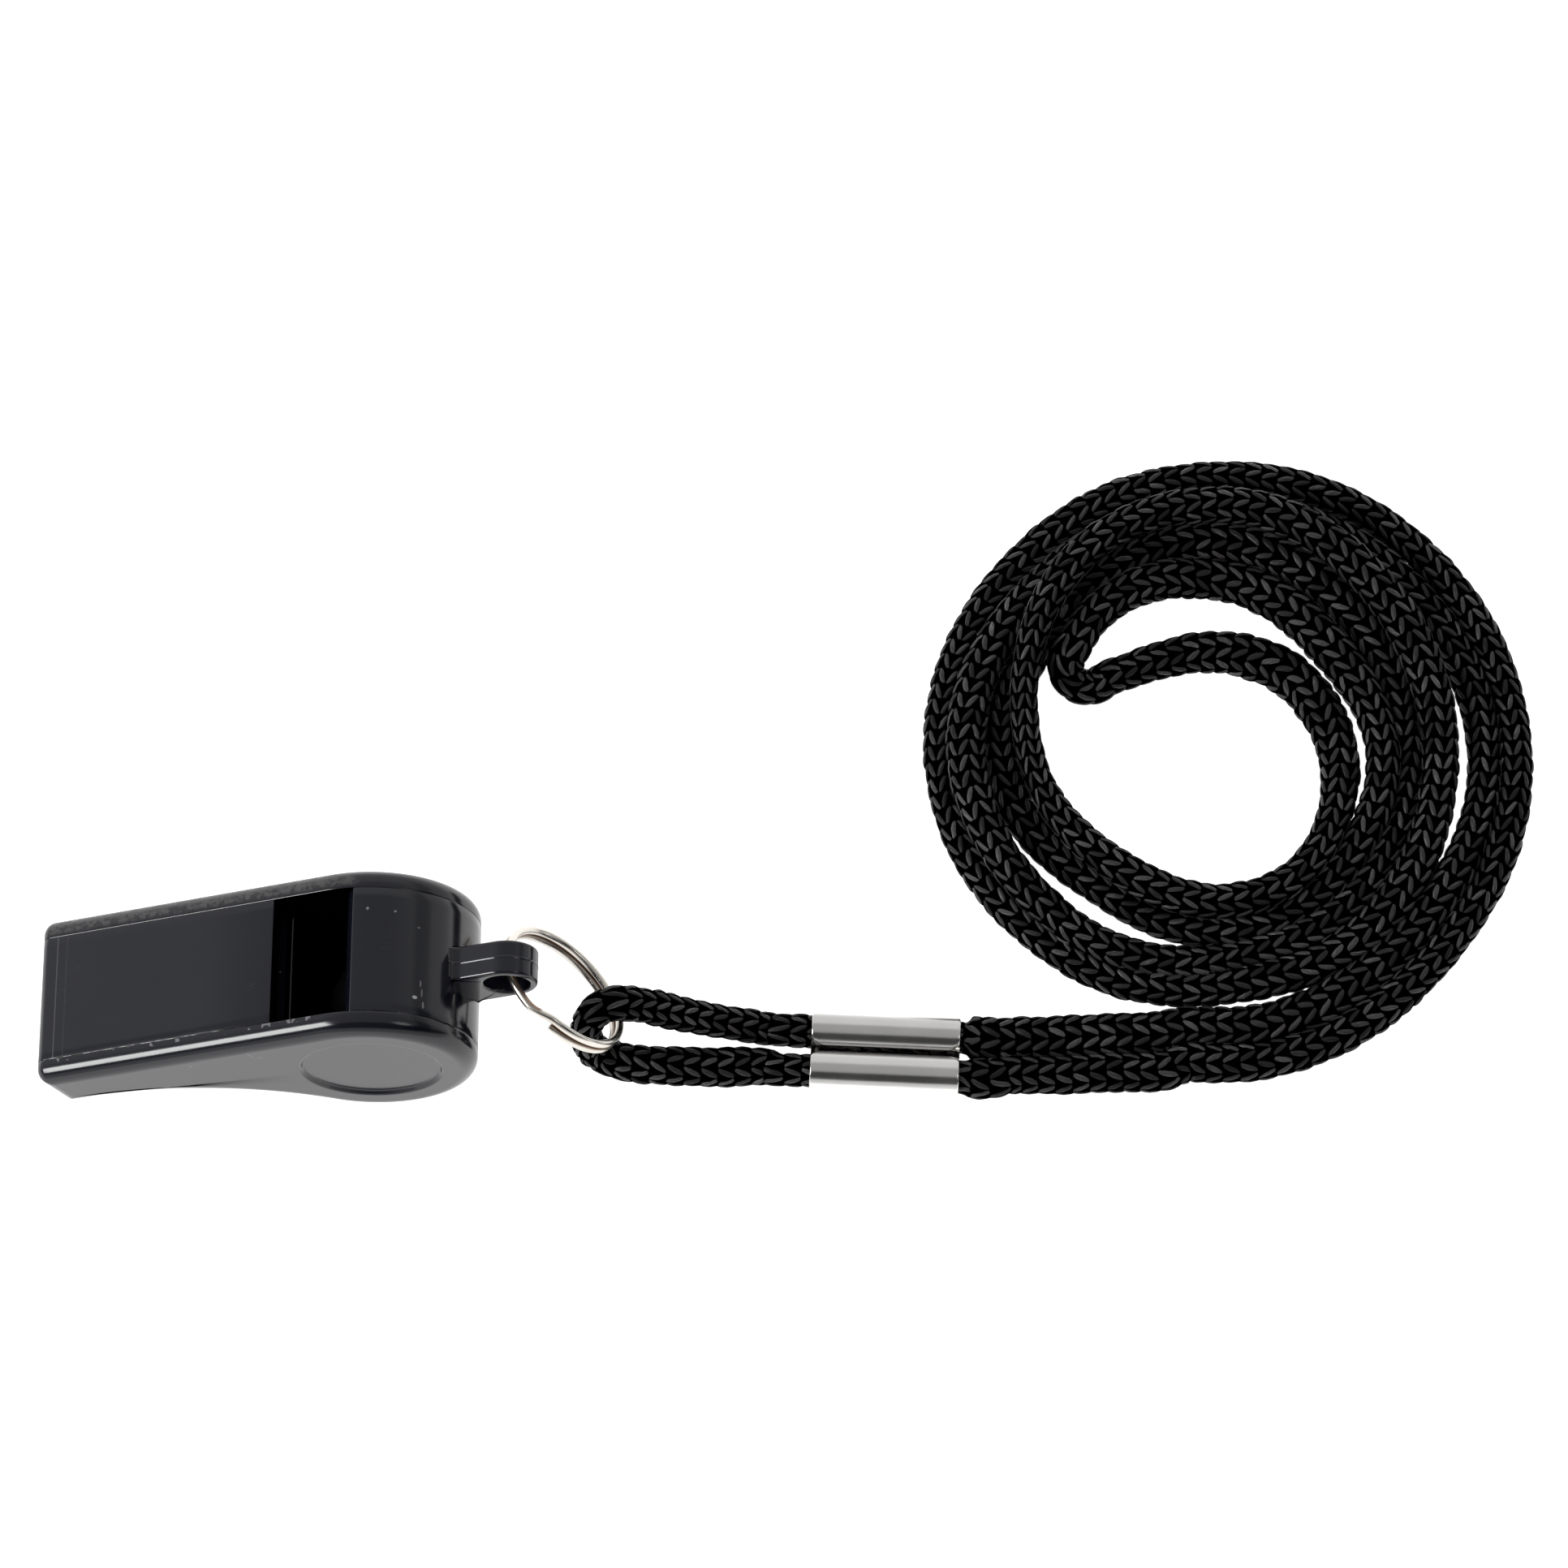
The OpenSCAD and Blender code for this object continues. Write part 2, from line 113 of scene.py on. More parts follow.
print("Chamber axis, in the row frame, in m:", lean(0.0, 0.0, 0.0).round(6).tolist())

# %% [markdown]
# ## Camera
# The photograph was taken from high in front with a long lens. Its place, its angles and its lens
# were fitted to edges of known length on the whistle.

# %% Camera
camera_data = bpy.data.cameras.new("photo_camera")
camera_data.sensor_width = 36.0
camera_data.lens = 186.34
camera_data.clip_end = 20.0
camera = bpy.data.objects.new("photo_camera", camera_data)
camera.location = (0.050894, -0.30937, 0.79875)
camera.rotation_euler = Euler([math.radians(a) for a in (22.911, 0.0, 0.66)])
bpy.context.scene.collection.objects.link(camera)
bpy.context.scene.camera = camera
bpy.context.scene.view_settings.view_transform = "Standard"
print("Lens, in mm:", camera_data.lens)

# %% [markdown]
# ## Grids of points
# Every new piece is a grid: a function of two numbers gives a point, and whole arrays of such
# points become quads. The same few helpers then serve for a plate, a wire and a cord. A closed
# surface holds a volume, and its sign tells whether the faces point outwards, so it is measured.

# %% Helpers that turn grids into meshes


def grid_faces(rows, columns, wrap_rows=False):
    """Quads between neighbours of a grid whose columns close on themselves. Corner (i, j) is point
    i * columns + j. With wrap_rows, the last row joins the first."""
    i, j = np.meshgrid(np.arange(rows if wrap_rows else rows - 1), np.arange(columns), indexing="ij")
    i2, j2 = (i + 1) % rows, (j + 1) % columns
    corners = [i * columns + j, i2 * columns + j, i2 * columns + j2, i * columns + j2]
    return np.stack(corners, -1).reshape(-1, 4)


def volume_of(mesh):
    """Signed volume inside a closed mesh: a sixth of the sum of a . (b x c) over its triangles."""
    mesh.calc_loop_triangles()
    points = np.empty(len(mesh.vertices) * 3)
    mesh.vertices.foreach_get("co", points)
    corners = np.empty(len(mesh.loop_triangles) * 3, np.int32)
    mesh.loop_triangles.foreach_get("vertices", corners)
    a, b, c = points.reshape(-1, 3)[corners].reshape(-1, 3, 3).transpose(1, 0, 2)
    return float((a * np.cross(b, c)).sum() / 6)


def smooth_shade(mesh, sharp_above):
    """Smooth shading, with sharp edges above an angle in degrees."""
    mesh.shade_smooth()
    mesh.set_sharp_from_angle(angle=math.radians(sharp_above))


def stack(rows):
    """Faces of a stack of closed rows, with one flat face on each end."""
    count, columns = rows.shape[:2]
    faces = grid_faces(count, columns).tolist()
    faces.append(list(range(columns)))
    faces.append(list(range(count * columns - 1, (count - 1) * columns - 1, -1)))
    return faces


def make_piece(name, points, sharp_above=35.0, faces=None):
    """Object of a closed mesh, by default a stack of rows, whose faces are turned outwards."""
    mesh = bpy.data.meshes.new(name)
    mesh.from_pydata(np.reshape(points, (-1, 3)).tolist(), [], faces or stack(points))
    if volume_of(mesh) < 0:
        mesh.flip_normals()
    smooth_shade(mesh, sharp_above)
    piece = bpy.data.objects.new(name, mesh)
    bpy.context.scene.collection.objects.link(piece)
    print(f"{name}: {len(mesh.vertices)} points, {len(mesh.polygons)} faces, {volume_of(mesh) * 1e9:.1f} mm3")
    return piece


def round_edges(piece, width):
    """Rounds the edges above 30 degrees with a Bevel modifier, applies it and shades the result."""
    bevel = piece.modifiers.new("rounded edges", "BEVEL")
    bevel.width = width
    bevel.segments = 2
    bevel.limit_method = "ANGLE"
    bevel.angle_limit = math.radians(30)
    bevel.use_clamp_overlap = True
    shape = piece.evaluated_get(bpy.context.evaluated_depsgraph_get())
    mesh = bpy.data.meshes.new_from_object(shape)
    piece.modifiers.clear()
    piece.data = mesh
    smooth_shade(mesh, 35)
    print(f"{piece.name}: {len(mesh.polygons)} faces with rounded edges")


def smoothstep(t):
    """0 up to t = 0, 1 from t = 1, and 3t^2 - 2t^3 between."""
    t = np.clip(t, 0, 1)
    return t * t * (3 - 2 * t)


# %% Smooth noise for small moulding faults


def ripple(points, scale, seed):
    """Soft random field round 0: products of sines of the place, each along a seeded direction, so
    neighbours agree and nothing repeats over the size of the piece."""
    turns = np.random.default_rng(seed).normal(size=(3, 3))
    turns /= np.linalg.norm(turns, axis=1, keepdims=True)
    waves = np.sin(points @ turns.T / scale + np.arange(3) * 2.1 + seed)
    return waves[..., 0] * waves[..., 1] + 0.5 * waves[..., 2] * waves[..., 0]


print("Ripple at the origin:", round(float(ripple(np.zeros((1, 3)), 1.0, 3)[0]), 3))

# %% [markdown]
# ## The cord's route
# The cord is one closed loop of knitted yarn, about a metre long. It leaves the clip on the right
# as two strands side by side, winds inwards as a folded loop and turns back in a hairpin. On the
# left of the clip it makes a short eye that holds the split ring. The route follows that of the
# CAD source, moved by a millimetre or so in places to lie as in the photograph. A smooth curve
# runs through its points, and is then cut into equal steps of length.

# %% Route of the cord
clip_x, clip_y, clip_turn = 45.6, -3.2, math.radians(-2)
clip_r = cord_d / 2 + clip_play + clip_sheet
coil_x, coil_y, coil_rx, coil_ry = 90.0, 30.0, 30.6, 34.1
lane_pitch, turns_end = 1.13 * cord_d, 21.3
coil_steps, lead_steps, eye_steps, path_step = 1200, 12, 16, 0.25
eye_route = [[41, -0.6, 2], [37, -0.3, 2.6], [33, -0.1, 4.1], [29.6, -0.1, 6], [26.9, -0.3, 8],
             [24.9, -0.8, 9.2], [23.1, -1.5, 8.8], [22.2, -2.2, 7], [22, -2.8, 4.9], [22.7, -3.5, 2.9],
             [24.7, -4.2, 1.9], [28.1, -4.7, 1.8], [33, -4.9, 1.8], [38, -4.9, 1.8], [41, -4.9, 2]]
front_lead_route = [[67, -5.4, 1.9], [72, -5.35, 1.8], [78, -5.05, 1.8], [82, -4.9, 1.8]]
back_lead_route = [[67, -1.5, 1.9], [72, -1.25, 1.8], [78, -0.85, 1.8], [82, -0.6, 1.8]]
front_lanes = [1.08, 1.42, 1.04, 0.96, 1, 0.94, 0.93, 2.1, 3.38, 3.32, 3.16, 2.95, 2.4, 2.45, 3.4, 4.9,
               5.65, 5.8, 5.96, 6.28, 6.42, 5.6, 3.2]
back_lanes = [2.1, 2.4, 1.9, 1.95, 2, 1.98, 1.62, 2.76, 4.08, 4.3, 4.09, 3.75, 3.13, 2.97, 2.62, 4.36,
              4.98, 5.04, 4.74, 5.02, 4.4, 3.8, 4.05]
front_lifts = [0, 0, 0, 0, 0, 0, 0, 0, 0, 0.1, 0.55, 1.1, 1.3, 1.6, 0.8, 0.85,
               0.6, 0.55, 0.4, 0.1, 0, 0.05, 0.15]
back_lifts = [0, 0, 0, 0, 0, 0.4, 0.9, 0.45, 0, 0, 0, 0.2, 0.25, 0.2, 0, 0,
              0, 0.15, 0.55, 0.5, 0.4, 1, 0.8]
front_widths = [1.24, 1.08, 1.06, 1.06, 1.04, 1.12, 1.08, 1.12, 1.2, 1.24, 1.14, 1.25, 1.16, 1, 0.84, 1.12,
                1.08, 1.04, 1.22, 1.5, 1.4, 1.12, 1.14]
back_widths = [1.36, 1.26, 1.08, 1.14, 1.1, 1.24, 1.2, 1.1, 1.2, 1.14, 1.12, 1.36, 1.34, 1.24, 1.16, 1.14,
               1.18, 1.14, 1.08, 1.34, 1.4, 1.14, 1.14]
eye_widths = [1, 1, 1, 1, 1, 1.04, 1.1, 1.12, 1.1, 1.1, 1.08, 1.08, 1.08, 1.12, 1.18, 1.2, 1.2, 1.15, 1, 1, 1]


def between(table, t):
    """Catmull-Rom curve through a table's entries, at the places t between them."""
    table, t = np.asarray(table, float), np.asarray(t, float)
    i = np.minimum(np.floor(t).astype(int), len(table) - 2)
    a, b, c, d = (table[np.clip(i + k, 0, len(table) - 1)] for k in (-1, 0, 1, 2))
    f = (t - i).reshape(t.shape + (1,) * (table.ndim - 1))
    return (2 * b + (c - a) * f + (2 * a - 5 * b + 4 * c - d) * f**2 + (3 * b - a - 3 * c + d) * f**3) / 2


def smooth_route(route, steps):
    """The route with so many points for each given one."""
    return between(route, np.arange((len(route) - 1) * steps + 1) / steps)


def clip_point(along, aside, height=clip_r):
    """Place in the clip: along its length, beside its middle line, and as high as the cord lies."""
    c, s = math.cos(clip_turn), math.sin(clip_turn)
    return [clip_x + along * c - aside * s, clip_y + along * s + aside * c, height]


def coil_point(lanes, lifts, t):
    """Point of a strand at t eighths of a turn: an ellipse drawn in by the lane, lifted by the lift."""
    a = np.radians(45 * t - 90)
    inwards = (between(lanes, t) - 1) * lane_pitch
    return np.stack([coil_x + (coil_rx - inwards) * np.cos(a), coil_y + (coil_ry - inwards) * np.sin(a),
                     cord_d * (0.5 + np.maximum(0, between(lifts, t)))], -1)


def strand_route(side, route, lanes, lifts, widths):
    """One strand: from the clip's left end through the clip and its lead into the coil. A fourth
    column tells how wide the soft cord lies there, against a round one."""
    aside = side * clip_pitch / 2
    start = coil_point(lanes, [0, 0], np.zeros(1))[0] - [cord_d, 0, 0]
    through = [clip_point(along, aside) for along in (0, clip_len / 2, clip_len, clip_len + cord_d)]
    lead = smooth_route([*through, *route, start - [cord_d / 2, 0, 0], start], lead_steps)
    lead = np.append(lead, np.where(lead[:, :1] < clip_x + clip_len + 1, 1.0, widths[0]), 1)
    t = np.linspace(0, turns_end, coil_steps)
    coil = np.append(coil_point(lanes, lifts, t), between(widths, t)[:, None], 1)
    return np.concatenate([lead, coil])


def even_steps(route, step):
    """The same curve at equal distances: each column is read off against the length run so far."""
    run = np.concatenate([[0], np.cumsum(np.linalg.norm(np.diff(route[:, :3], axis=0), axis=1))])
    at = np.linspace(0, run[-1], int(round(run[-1] / step)) + 1)
    return np.stack([np.interp(at, run, column) for column in route.T], -1), at


def to_row(points):
    """From the chamber's axis to the row frame, in metres."""
    return (points - [origin_x, 0, 0]) * MM


# %% One path for the strands and the hairpin, one for the eye
front = strand_route(-1, front_lead_route, front_lanes, front_lifts, front_widths)
back = strand_route(1, back_lead_route, back_lanes, back_lifts, back_widths)
middle = (front[-1, :3] + back[-1, :3]) / 2
out = front[-1, :3] - middle
ahead = front[-1, :3] - front[-8, :3]
ahead -= (ahead @ out) / (out @ out) * out
ahead *= np.linalg.norm(out) / np.linalg.norm(ahead)
turn = np.radians(np.arange(3, 180, 3))[:, None]
hairpin_wide, eye_overlap = 1.15, 4.0
hairpin = np.append(middle + out * np.cos(turn) + ahead * np.sin(turn), hairpin_wide + 0 * turn, 1)
loop_path, loop_run = even_steps(np.concatenate([front, hairpin, back[::-1]]), path_step)
out_of_clip = (eye_overlap, 0, -cord_d)
eye_points = smooth_route([*(clip_point(along, clip_pitch / 2) for along in out_of_clip), *eye_route,
                           *(clip_point(along, -clip_pitch / 2) for along in out_of_clip[::-1])], eye_steps)
eye_wide = between(eye_widths, np.linspace(0, len(eye_widths) - 1, len(eye_points)))
eye_path, eye_run = even_steps(np.append(eye_points, eye_wide[:, None], 1), path_step)
print("Length of the loop, in mm:", round(loop_run[-1], 1), "and of the eye:", round(eye_run[-1], 1))

# %% [markdown]
# ## The knitted cord
# The real cord is a narrow knitted tube. Each column of stitches, a wale, is a row of small V's,
# and each leg of a V is a rounded bundle of black yarn. A bump map alone would leave the outline
# smooth, so the stitches are modelled: the rows of the grid zigzag with the V's, and the surface
# sinks between them. To keep the meshes light, the long loop is cut at its hairpin into two
# strands that share one row of points.

# %% Surface of a knitted tube
stitch, wales, row_steps, wale_steps, rise = 1.78, 5, 9, 8, 0.95
knit_r, groove, slack = 1.83, 0.32, 0.05


def knitted(path, run, reference, first, last, seed):
    """Knitted tube round a path, at u stitches along and w wales around. A point stands at the
    length (u - rise q) * stitch, where q = |2 w - 1| is 0 at a wale's middle and 1 at its sides,
    and at the angle of w, turned by a slow twist and wander. The radius is less by a groove where
    the yarn is low: its height is 1 - |2u - 1|^2.4, times a share that falls on both sides of a
    leg. The cord lies wider along the table, or upright where the reference lies level."""
    path, wide = path[:, :3], path[:, 3:]
    along = np.gradient(path, axis=0)
    side = np.cross(reference, along)
    side /= np.linalg.norm(side, axis=1, keepdims=True)
    along /= np.linalg.norm(along, axis=1, keepdims=True)
    up, thin = np.cross(along, side), np.maximum(wide, 1) ** -0.5
    side, up = (side * wide, up * thin) if reference[2] else (side * thin, up * wide)
    u = np.arange(first, last + 1)[:, None] / row_steps
    w = np.arange(wales * wale_steps)[None, :] / wale_steps
    q = np.abs(2 * (w % 1) - 1)
    at = np.clip((u - rise * q) * stitch, 0, run[-1])
    wander = 0.3 * np.sin(at / 9.1 + seed) + 0.2 * np.sin(at / 4.3 + 2 * seed)
    angle = (2 * np.pi * w / wales + 0.012 * at + wander)[..., None]
    leg = 1 - np.abs(2 * (u % 1) - 1) ** 2.4
    across = 1 - np.abs(2 * q - 1) ** 3
    uneven = 1 + 0.25 * ripple(together(u * 2.7, np.floor(w) * 3.1, q), 1.0, seed)
    height = leg * (0.35 + 0.65 * across) * uneven
    radius = knit_r - groove * (1 - height) - slack * np.abs(ripple(together(at, w, 0 * at), 3.0, seed))
    put = lambda table: np.stack([np.interp(at, run, column) for column in table.T], -1)
    middle = put(path)
    points = middle + radius[..., None] * (np.cos(angle) * put(side) + np.sin(angle) * put(up))
    return to_row(points), u, middle


def knit_piece(name, points, u):
    """Mesh of a knitted tube, with a UV map that counts stitches along and wales around. Corners
    of the last column's faces that lie on the first column count one turn more."""
    rows, columns = points.shape[:2]
    piece = make_piece(name, points, 180)
    layer = piece.data.uv_layers.new(name="stitches")
    corner = np.empty(len(piece.data.loops), np.int32)
    piece.data.loops.foreach_get("vertex_index", corner)
    row, column = corner // columns, corner % columns
    by_face = column[:(rows - 1) * columns * 4].reshape(-1, 4)
    wrapped = np.zeros(len(corner), bool)
    wrapped[:by_face.size] = ((by_face == 0) & (by_face.max(1, keepdims=True) == columns - 1)).ravel()
    flat = np.stack([u[row, 0], (column + columns * wrapped) / wale_steps], -1)
    layer.data.foreach_set("uv", flat.astype(np.float32).ravel())
    return piece


# %% Three knitted pieces
upwards, sideways = np.array([0.0, 0.0, 1.0]), np.array([0.0, 1.0, 0.0])
first_row = 4
loop_rows, eye_rows = (int(run[-1] / stitch * row_steps) for run in (loop_run, eye_run))
half = loop_rows // 2
strands = []
for name, path, run, reference, first, last, seed in (
    ("front_strand", loop_path, loop_run, upwards, first_row, half, 5),
    ("back_strand", loop_path, loop_run, upwards, half, loop_rows, 5),
    ("eye_cord", eye_path, eye_run, sideways, first_row, eye_rows, 8),
):
    points, u, middle = knitted(path, run, reference, first, last, seed)
    strands.append((knit_piece(name, points, u), middle[:, wale_steps // 2]))
(front_strand, _), (back_strand, _), (eye_cord, _) = strands

# %% [markdown]
# ## The cord clip
# The clip is one strip of bright sheet: a flat base whose two sides are rolled over the strands,
# with a narrow gap between the rolled edges. A closed section is swept along the clip, so that
# the free edges can be round and their four corners rounded as well.

# %% Section and sweep of the clip


def clip_section():
    """Section of the sheet. Its middle line runs round one barrel, over the base and round the
    other, half a sheet inside the outer radius. The section goes out along one side of that line
    and back along the other, joined by half circles."""
    line_r, half_sheet = clip_r - clip_sheet / 2, clip_sheet / 2
    last = math.degrees(math.acos((clip_gap / 2 + 0.1 - clip_pitch / 2) / line_r))
    turn = np.radians(np.linspace(-90, last, 46))
    normal = np.stack([np.cos(turn), np.sin(turn)], -1)
    barrel = [clip_pitch / 2, clip_r] + line_r * normal
    base = np.linspace(-1, 1, 13)[1:-1, None] * [clip_pitch / 2, 0] + [0, half_sheet]
    line = np.concatenate([barrel[::-1] * [-1, 1], base, barrel])
    normals = np.concatenate([normal[::-1] * [-1, 1], np.tile([0.0, -1.0], (len(base), 1)), normal])
    bend = np.radians(np.arange(30, 180, 30))[:, None]
    ends = []
    for tip, direction, sign in ((line[-1], normals[-1], 1), (line[0], normals[0], -1)):
        onward = np.array([-direction[1], direction[0]]) * sign
        ends.append(tip + half_sheet * (np.cos(bend) * direction * sign + np.sin(bend) * onward))
    outer, inner = line + half_sheet * normals, line - half_sheet * normals
    return np.concatenate([outer, ends[0], inner[::-1], ends[1]])


def clip_points():
    """Grid of the clip: the section at places along it, with the sheet a little thinner at both
    ends. Near a free edge the ends draw in by the round corner, r - sqrt(r^2 - (r - d)^2) at the
    distance d from the edge."""
    section = clip_section()
    aside, height = section.T
    off_edge = np.clip(np.abs(aside) - clip_gap / 2, 0, clip_corner_r)
    draw = clip_corner_r - np.sqrt(np.maximum(0, clip_corner_r**2 - (clip_corner_r - off_edge) ** 2))
    draw = np.where(height > clip_r, draw, 0)
    near_ends = [0, 0.004, 0.012, 0.988, 0.996, 1]
    share = np.concatenate([near_ends[:3], np.linspace(0.03, 0.97, 24), near_ends[3:]])[:, None]
    thin = np.interp(share, near_ends, [0.07, 0.02, 0, 0, 0.02, 0.07])[..., None]
    on_barrel = (np.abs(aside) > clip_pitch / 2) | (height > clip_r)
    hub = together(np.where(on_barrel, np.sign(aside) * clip_pitch / 2, aside), clip_r)
    radial = section - hub
    length = np.linalg.norm(radial, axis=1, keepdims=True)
    towards_line = radial / length * np.sign(clip_r - clip_sheet / 2 - length)
    thinned = section + thin * towards_line
    along = draw + (clip_len - 2 * draw) * share
    return to_row(np.stack(clip_point(along, thinned[..., 0], thinned[..., 1]), -1))


cord_clip = make_piece("bright_clip", clip_points(), 50)

# %% [markdown]
# ## The split ring
# The ring is nearly two turns of one spring wire, side by side. The wire steps from one turn to
# the other over a short arc. A section swept along that path gives the ring, and an attribute
# marks the flanks where the turns touch, because tarnish stays there.

# %% Split ring


def ring_points():
    """Wire along a circle of the mean radius, lifted by +-half the pitch of the turns. Its section
    is |x|^n + |y|^n = 1, a little squarer than round, and its ends are drawn in to a rounded face.
    The attribute is 1 on the flank towards the other turn."""
    angle = np.arange(0, ring_arc + 1, 2.5)
    lift = turn_lift * (2 * smoothstep((angle - 360 + ring_step_arc) / ring_step_arc) - 1)
    a = np.radians(ring_start + angle)
    centre = np.stack([ring_r * np.cos(a), ring_r * np.sin(a), lift], -1)
    outwards = np.stack([np.cos(a), np.sin(a), 0 * a], -1)
    turn = np.radians(np.arange(0, 360, 15))
    n, slimming = 2.3, 0.985
    bulge = (np.abs(np.cos(turn)) ** n + np.abs(np.sin(turn)) ** n) ** (-1 / n)
    size = np.interp(angle, [0, 2.5, 5, ring_arc - 5, ring_arc - 2.5, ring_arc], [0.8, 0.98, 1, 1, 0.98, 0.8])
    reach = wire_d / 2 * size[:, None] * bulge * slimming
    spoke = np.cos(turn)[:, None] * outwards[:, None] + np.sin(turn)[:, None] * upwards
    points = centre[:, None] + reach[..., None] * spoke + [ring_seat + ring_r, 0, 0]
    inner_flank = smoothstep((np.sin(turn) * -np.sign(lift)[:, None] - 0.35) / 0.5)
    roll, droop = math.radians(-ring_lean), math.radians(ring_droop)
    x, y, z = np.moveaxis(points, -1, 0)
    y, z = y * math.cos(roll) - z * math.sin(roll), y * math.sin(roll) + z * math.cos(roll)
    x, z = x * math.cos(droop) + z * math.sin(droop), -x * math.sin(droop) + z * math.cos(droop)
    return np.stack([x + lug_x - origin_x, y, z + lug_z], -1) * MM, inner_flank


ring_grid, flank = ring_points()
ring_piece = make_piece("split_wire_ring", ring_grid, 50)
tarnish = ring_piece.data.attributes.new("tarnish", "FLOAT", "POINT")
tarnish.data.foreach_set("value", flank.astype(np.float32).ravel())

# %% [markdown]
# ## The side plates
# Each side of the whistle is a separate moulded plate: a drop-shaped outline with a rounded outer
# edge, a shallow round recess for a finger, and on the inner side a disc that finds the chamber.
# The whole plate is one stack of closed rows, from the disc's middle over the edge to the middle
# of the recess. All rows have the same number of points, so the outline is worked out for any
# inset, and the round rows take matching angles.

# %% Outline of the whistle's side for any inset


def arc(x, z, r, start, end, count):
    """Points of an arc round (x, z), from one angle to another, in degrees."""
    a = np.radians(np.linspace(start, end, count))
    return np.stack([x + r * np.cos(a), z + r * np.sin(a)], -1)


def straight(a, b, count):
    """Points of a straight stretch between two corners, without the corners."""
    return a + (b - a) * np.linspace(0, 1, count + 2)[1:-1, None]


def side_outline(inset):
    """Closed outline, moved inwards: the barrel, the roof, two round corners, the tip and the
    hollow underside."""
    r = max(tip_r - inset, 0.1 * tip_r)
    x = inset + r - mouth_len
    barrel = arc(0, 0, barrel_r - inset, under_angle - 180, 90, 150)
    top = arc(x, barrel_r - inset - r, r, 90, 180, 8)
    low = arc(x, mouth_z + inset + r, r, 180, 270, 8)
    under = arc(-under_x, mouth_z - under_r, under_r + inset, 90, under_angle, 60)
    return np.concatenate([barrel, straight(barrel[-1], top[0], 40), top, straight(top[-1], low[0], 10), low,
                           straight(low[-1], under[0], 4), under[:-1]])


outline = side_outline(0.0)
step_to_next = np.linalg.norm(np.roll(outline, -1, 0) - outline, axis=1)
length_so_far = np.concatenate([[0], np.cumsum(step_to_next)[:-1]])
corner_points = [0, 149, 190, 215, 219, -1]
corner_angles = [under_angle - 180, 90, 155, 165, 167, under_angle + 179]
circle_angles = np.radians(np.interp(length_so_far, length_so_far[corner_points], corner_angles))
print("Points round the side:", len(outline))


def side_circle(r):
    """Circle round the chamber's axis, whose points match those of the outline."""
    return r * np.stack([np.cos(circle_angles), np.sin(circle_angles)], -1)


def round_edge(shape, radius, outer, turns):
    """Rows over a round edge: at each angle the shape is r (1 - cos) inwards and r (1 - sin) down."""
    return [(shape(radius * (1 - math.cos(a))), outer - radius * (1 - math.sin(a)))
            for a in np.radians(turns)]


def lean_rows(rows, side=1):
    """Rows of points in the side view, each at its own distance across, put in the row frame."""
    xz = np.stack([row for row, _ in rows])
    return lean(xz[..., 0], side * np.array([across for _, across in rows])[:, None], xz[..., 1])


# %% Side plates


def plate_rows(side):
    """Rows of a plate from the inside out: locating disc, seam with a small chamfer, wall, round
    edge, flat, and the recess, whose edge slopes by a smoothstep over half a millimetre. Rows
    close to an edge keep its shading narrow."""
    inner, outer, disc_r = band_w / 2, body_w / 2, chamber_r - locator_play
    rows = [(side_circle(3), inner - locator_t), (side_circle(disc_r - 0.1), inner - locator_t),
            (side_circle(disc_r), inner - locator_t + 0.1), (side_circle(disc_r), inner)]
    seam = ((0.5, 0), (0.06, 0), (0.02, 0.02), (0, 0.07))
    rows += [(side_outline(inset), inner + depth) for inset, depth in seam]
    rows += [(side_outline(0), inner + (outer - edge_r - inner) * share) for share in (0.4, 0.75)]
    rows += round_edge(side_outline, edge_r, outer, np.linspace(0, 90, 10))
    rows += [(side_outline(edge_r + 0.08), outer), (side_circle(recess_r + 0.3), outer)]
    for share in np.linspace(0, 1, 11):
        rows.append((side_circle(recess_r + 0.2 - 0.5 * share), outer - recess_depth * smoothstep(share)))
    rows += [(side_circle(r), outer - recess_depth) for r in (recess_r - 0.4, 4, 1.5)]
    return lean_rows(rows, side)


front_plate = make_piece("front_plate", plate_rows(-1), 30)
back_plate = make_piece("back_plate", plate_rows(1), 30)

# %% [markdown]
# ## The centre band
# The band is a closed strip bent round the chamber, open at the sound window, with the windway
# running through the mouthpiece. Its side view is one closed line. Four columns of that line, at
# the two faces and at the windway's walls, give all the outer and inner surfaces. Two cells are
# left open, at the tip and under the window's edge, and the windway's own tube joins them.

# %% Centre band


def band_profile():
    """Closed side view of the band, from the window's front edge round to the same place again,
    and how many points there are up to the end of each part."""
    mouth_angle = 180 - math.degrees(math.asin((roof_z + flare_h - barrel_r + tip_r) / tip_r))
    top = arc(-tip_x, barrel_r - tip_r, tip_r, 90, mouth_angle, 10)
    low = arc(-tip_x, tip_z, tip_r, 180, 270, 9)
    under = arc(-under_x, mouth_z - under_r, under_r, 90, under_angle, 40)
    lip_angle = math.degrees(math.atan2(math.sqrt(barrel_r**2 - window_back**2), window_back))
    barrel = arc(0, 0, barrel_r, under_angle + 180, 360 + lip_angle, 170)
    edge_angle = math.degrees(math.acos((window_back - lip_bevel) / chamber_r))
    floor_angle = math.degrees(math.acos(-floor_end / chamber_r))
    chamber = arc(0, 0, chamber_r, edge_angle, floor_angle - 360, 150)
    roof = [[-window_front, barrel_r], [-15, barrel_r], [-24, barrel_r]]
    mouth = [top[-1], [-mouth_len, windway_z - flare_h]]
    window = [[-floor_end, windway_z], [-window_front, windway_z], [-window_front, roof_z]]
    parts = [roof, top[:-1], mouth, low, under, barrel[1:], chamber, window]
    return np.concatenate(parts), np.cumsum([len(part) for part in parts])


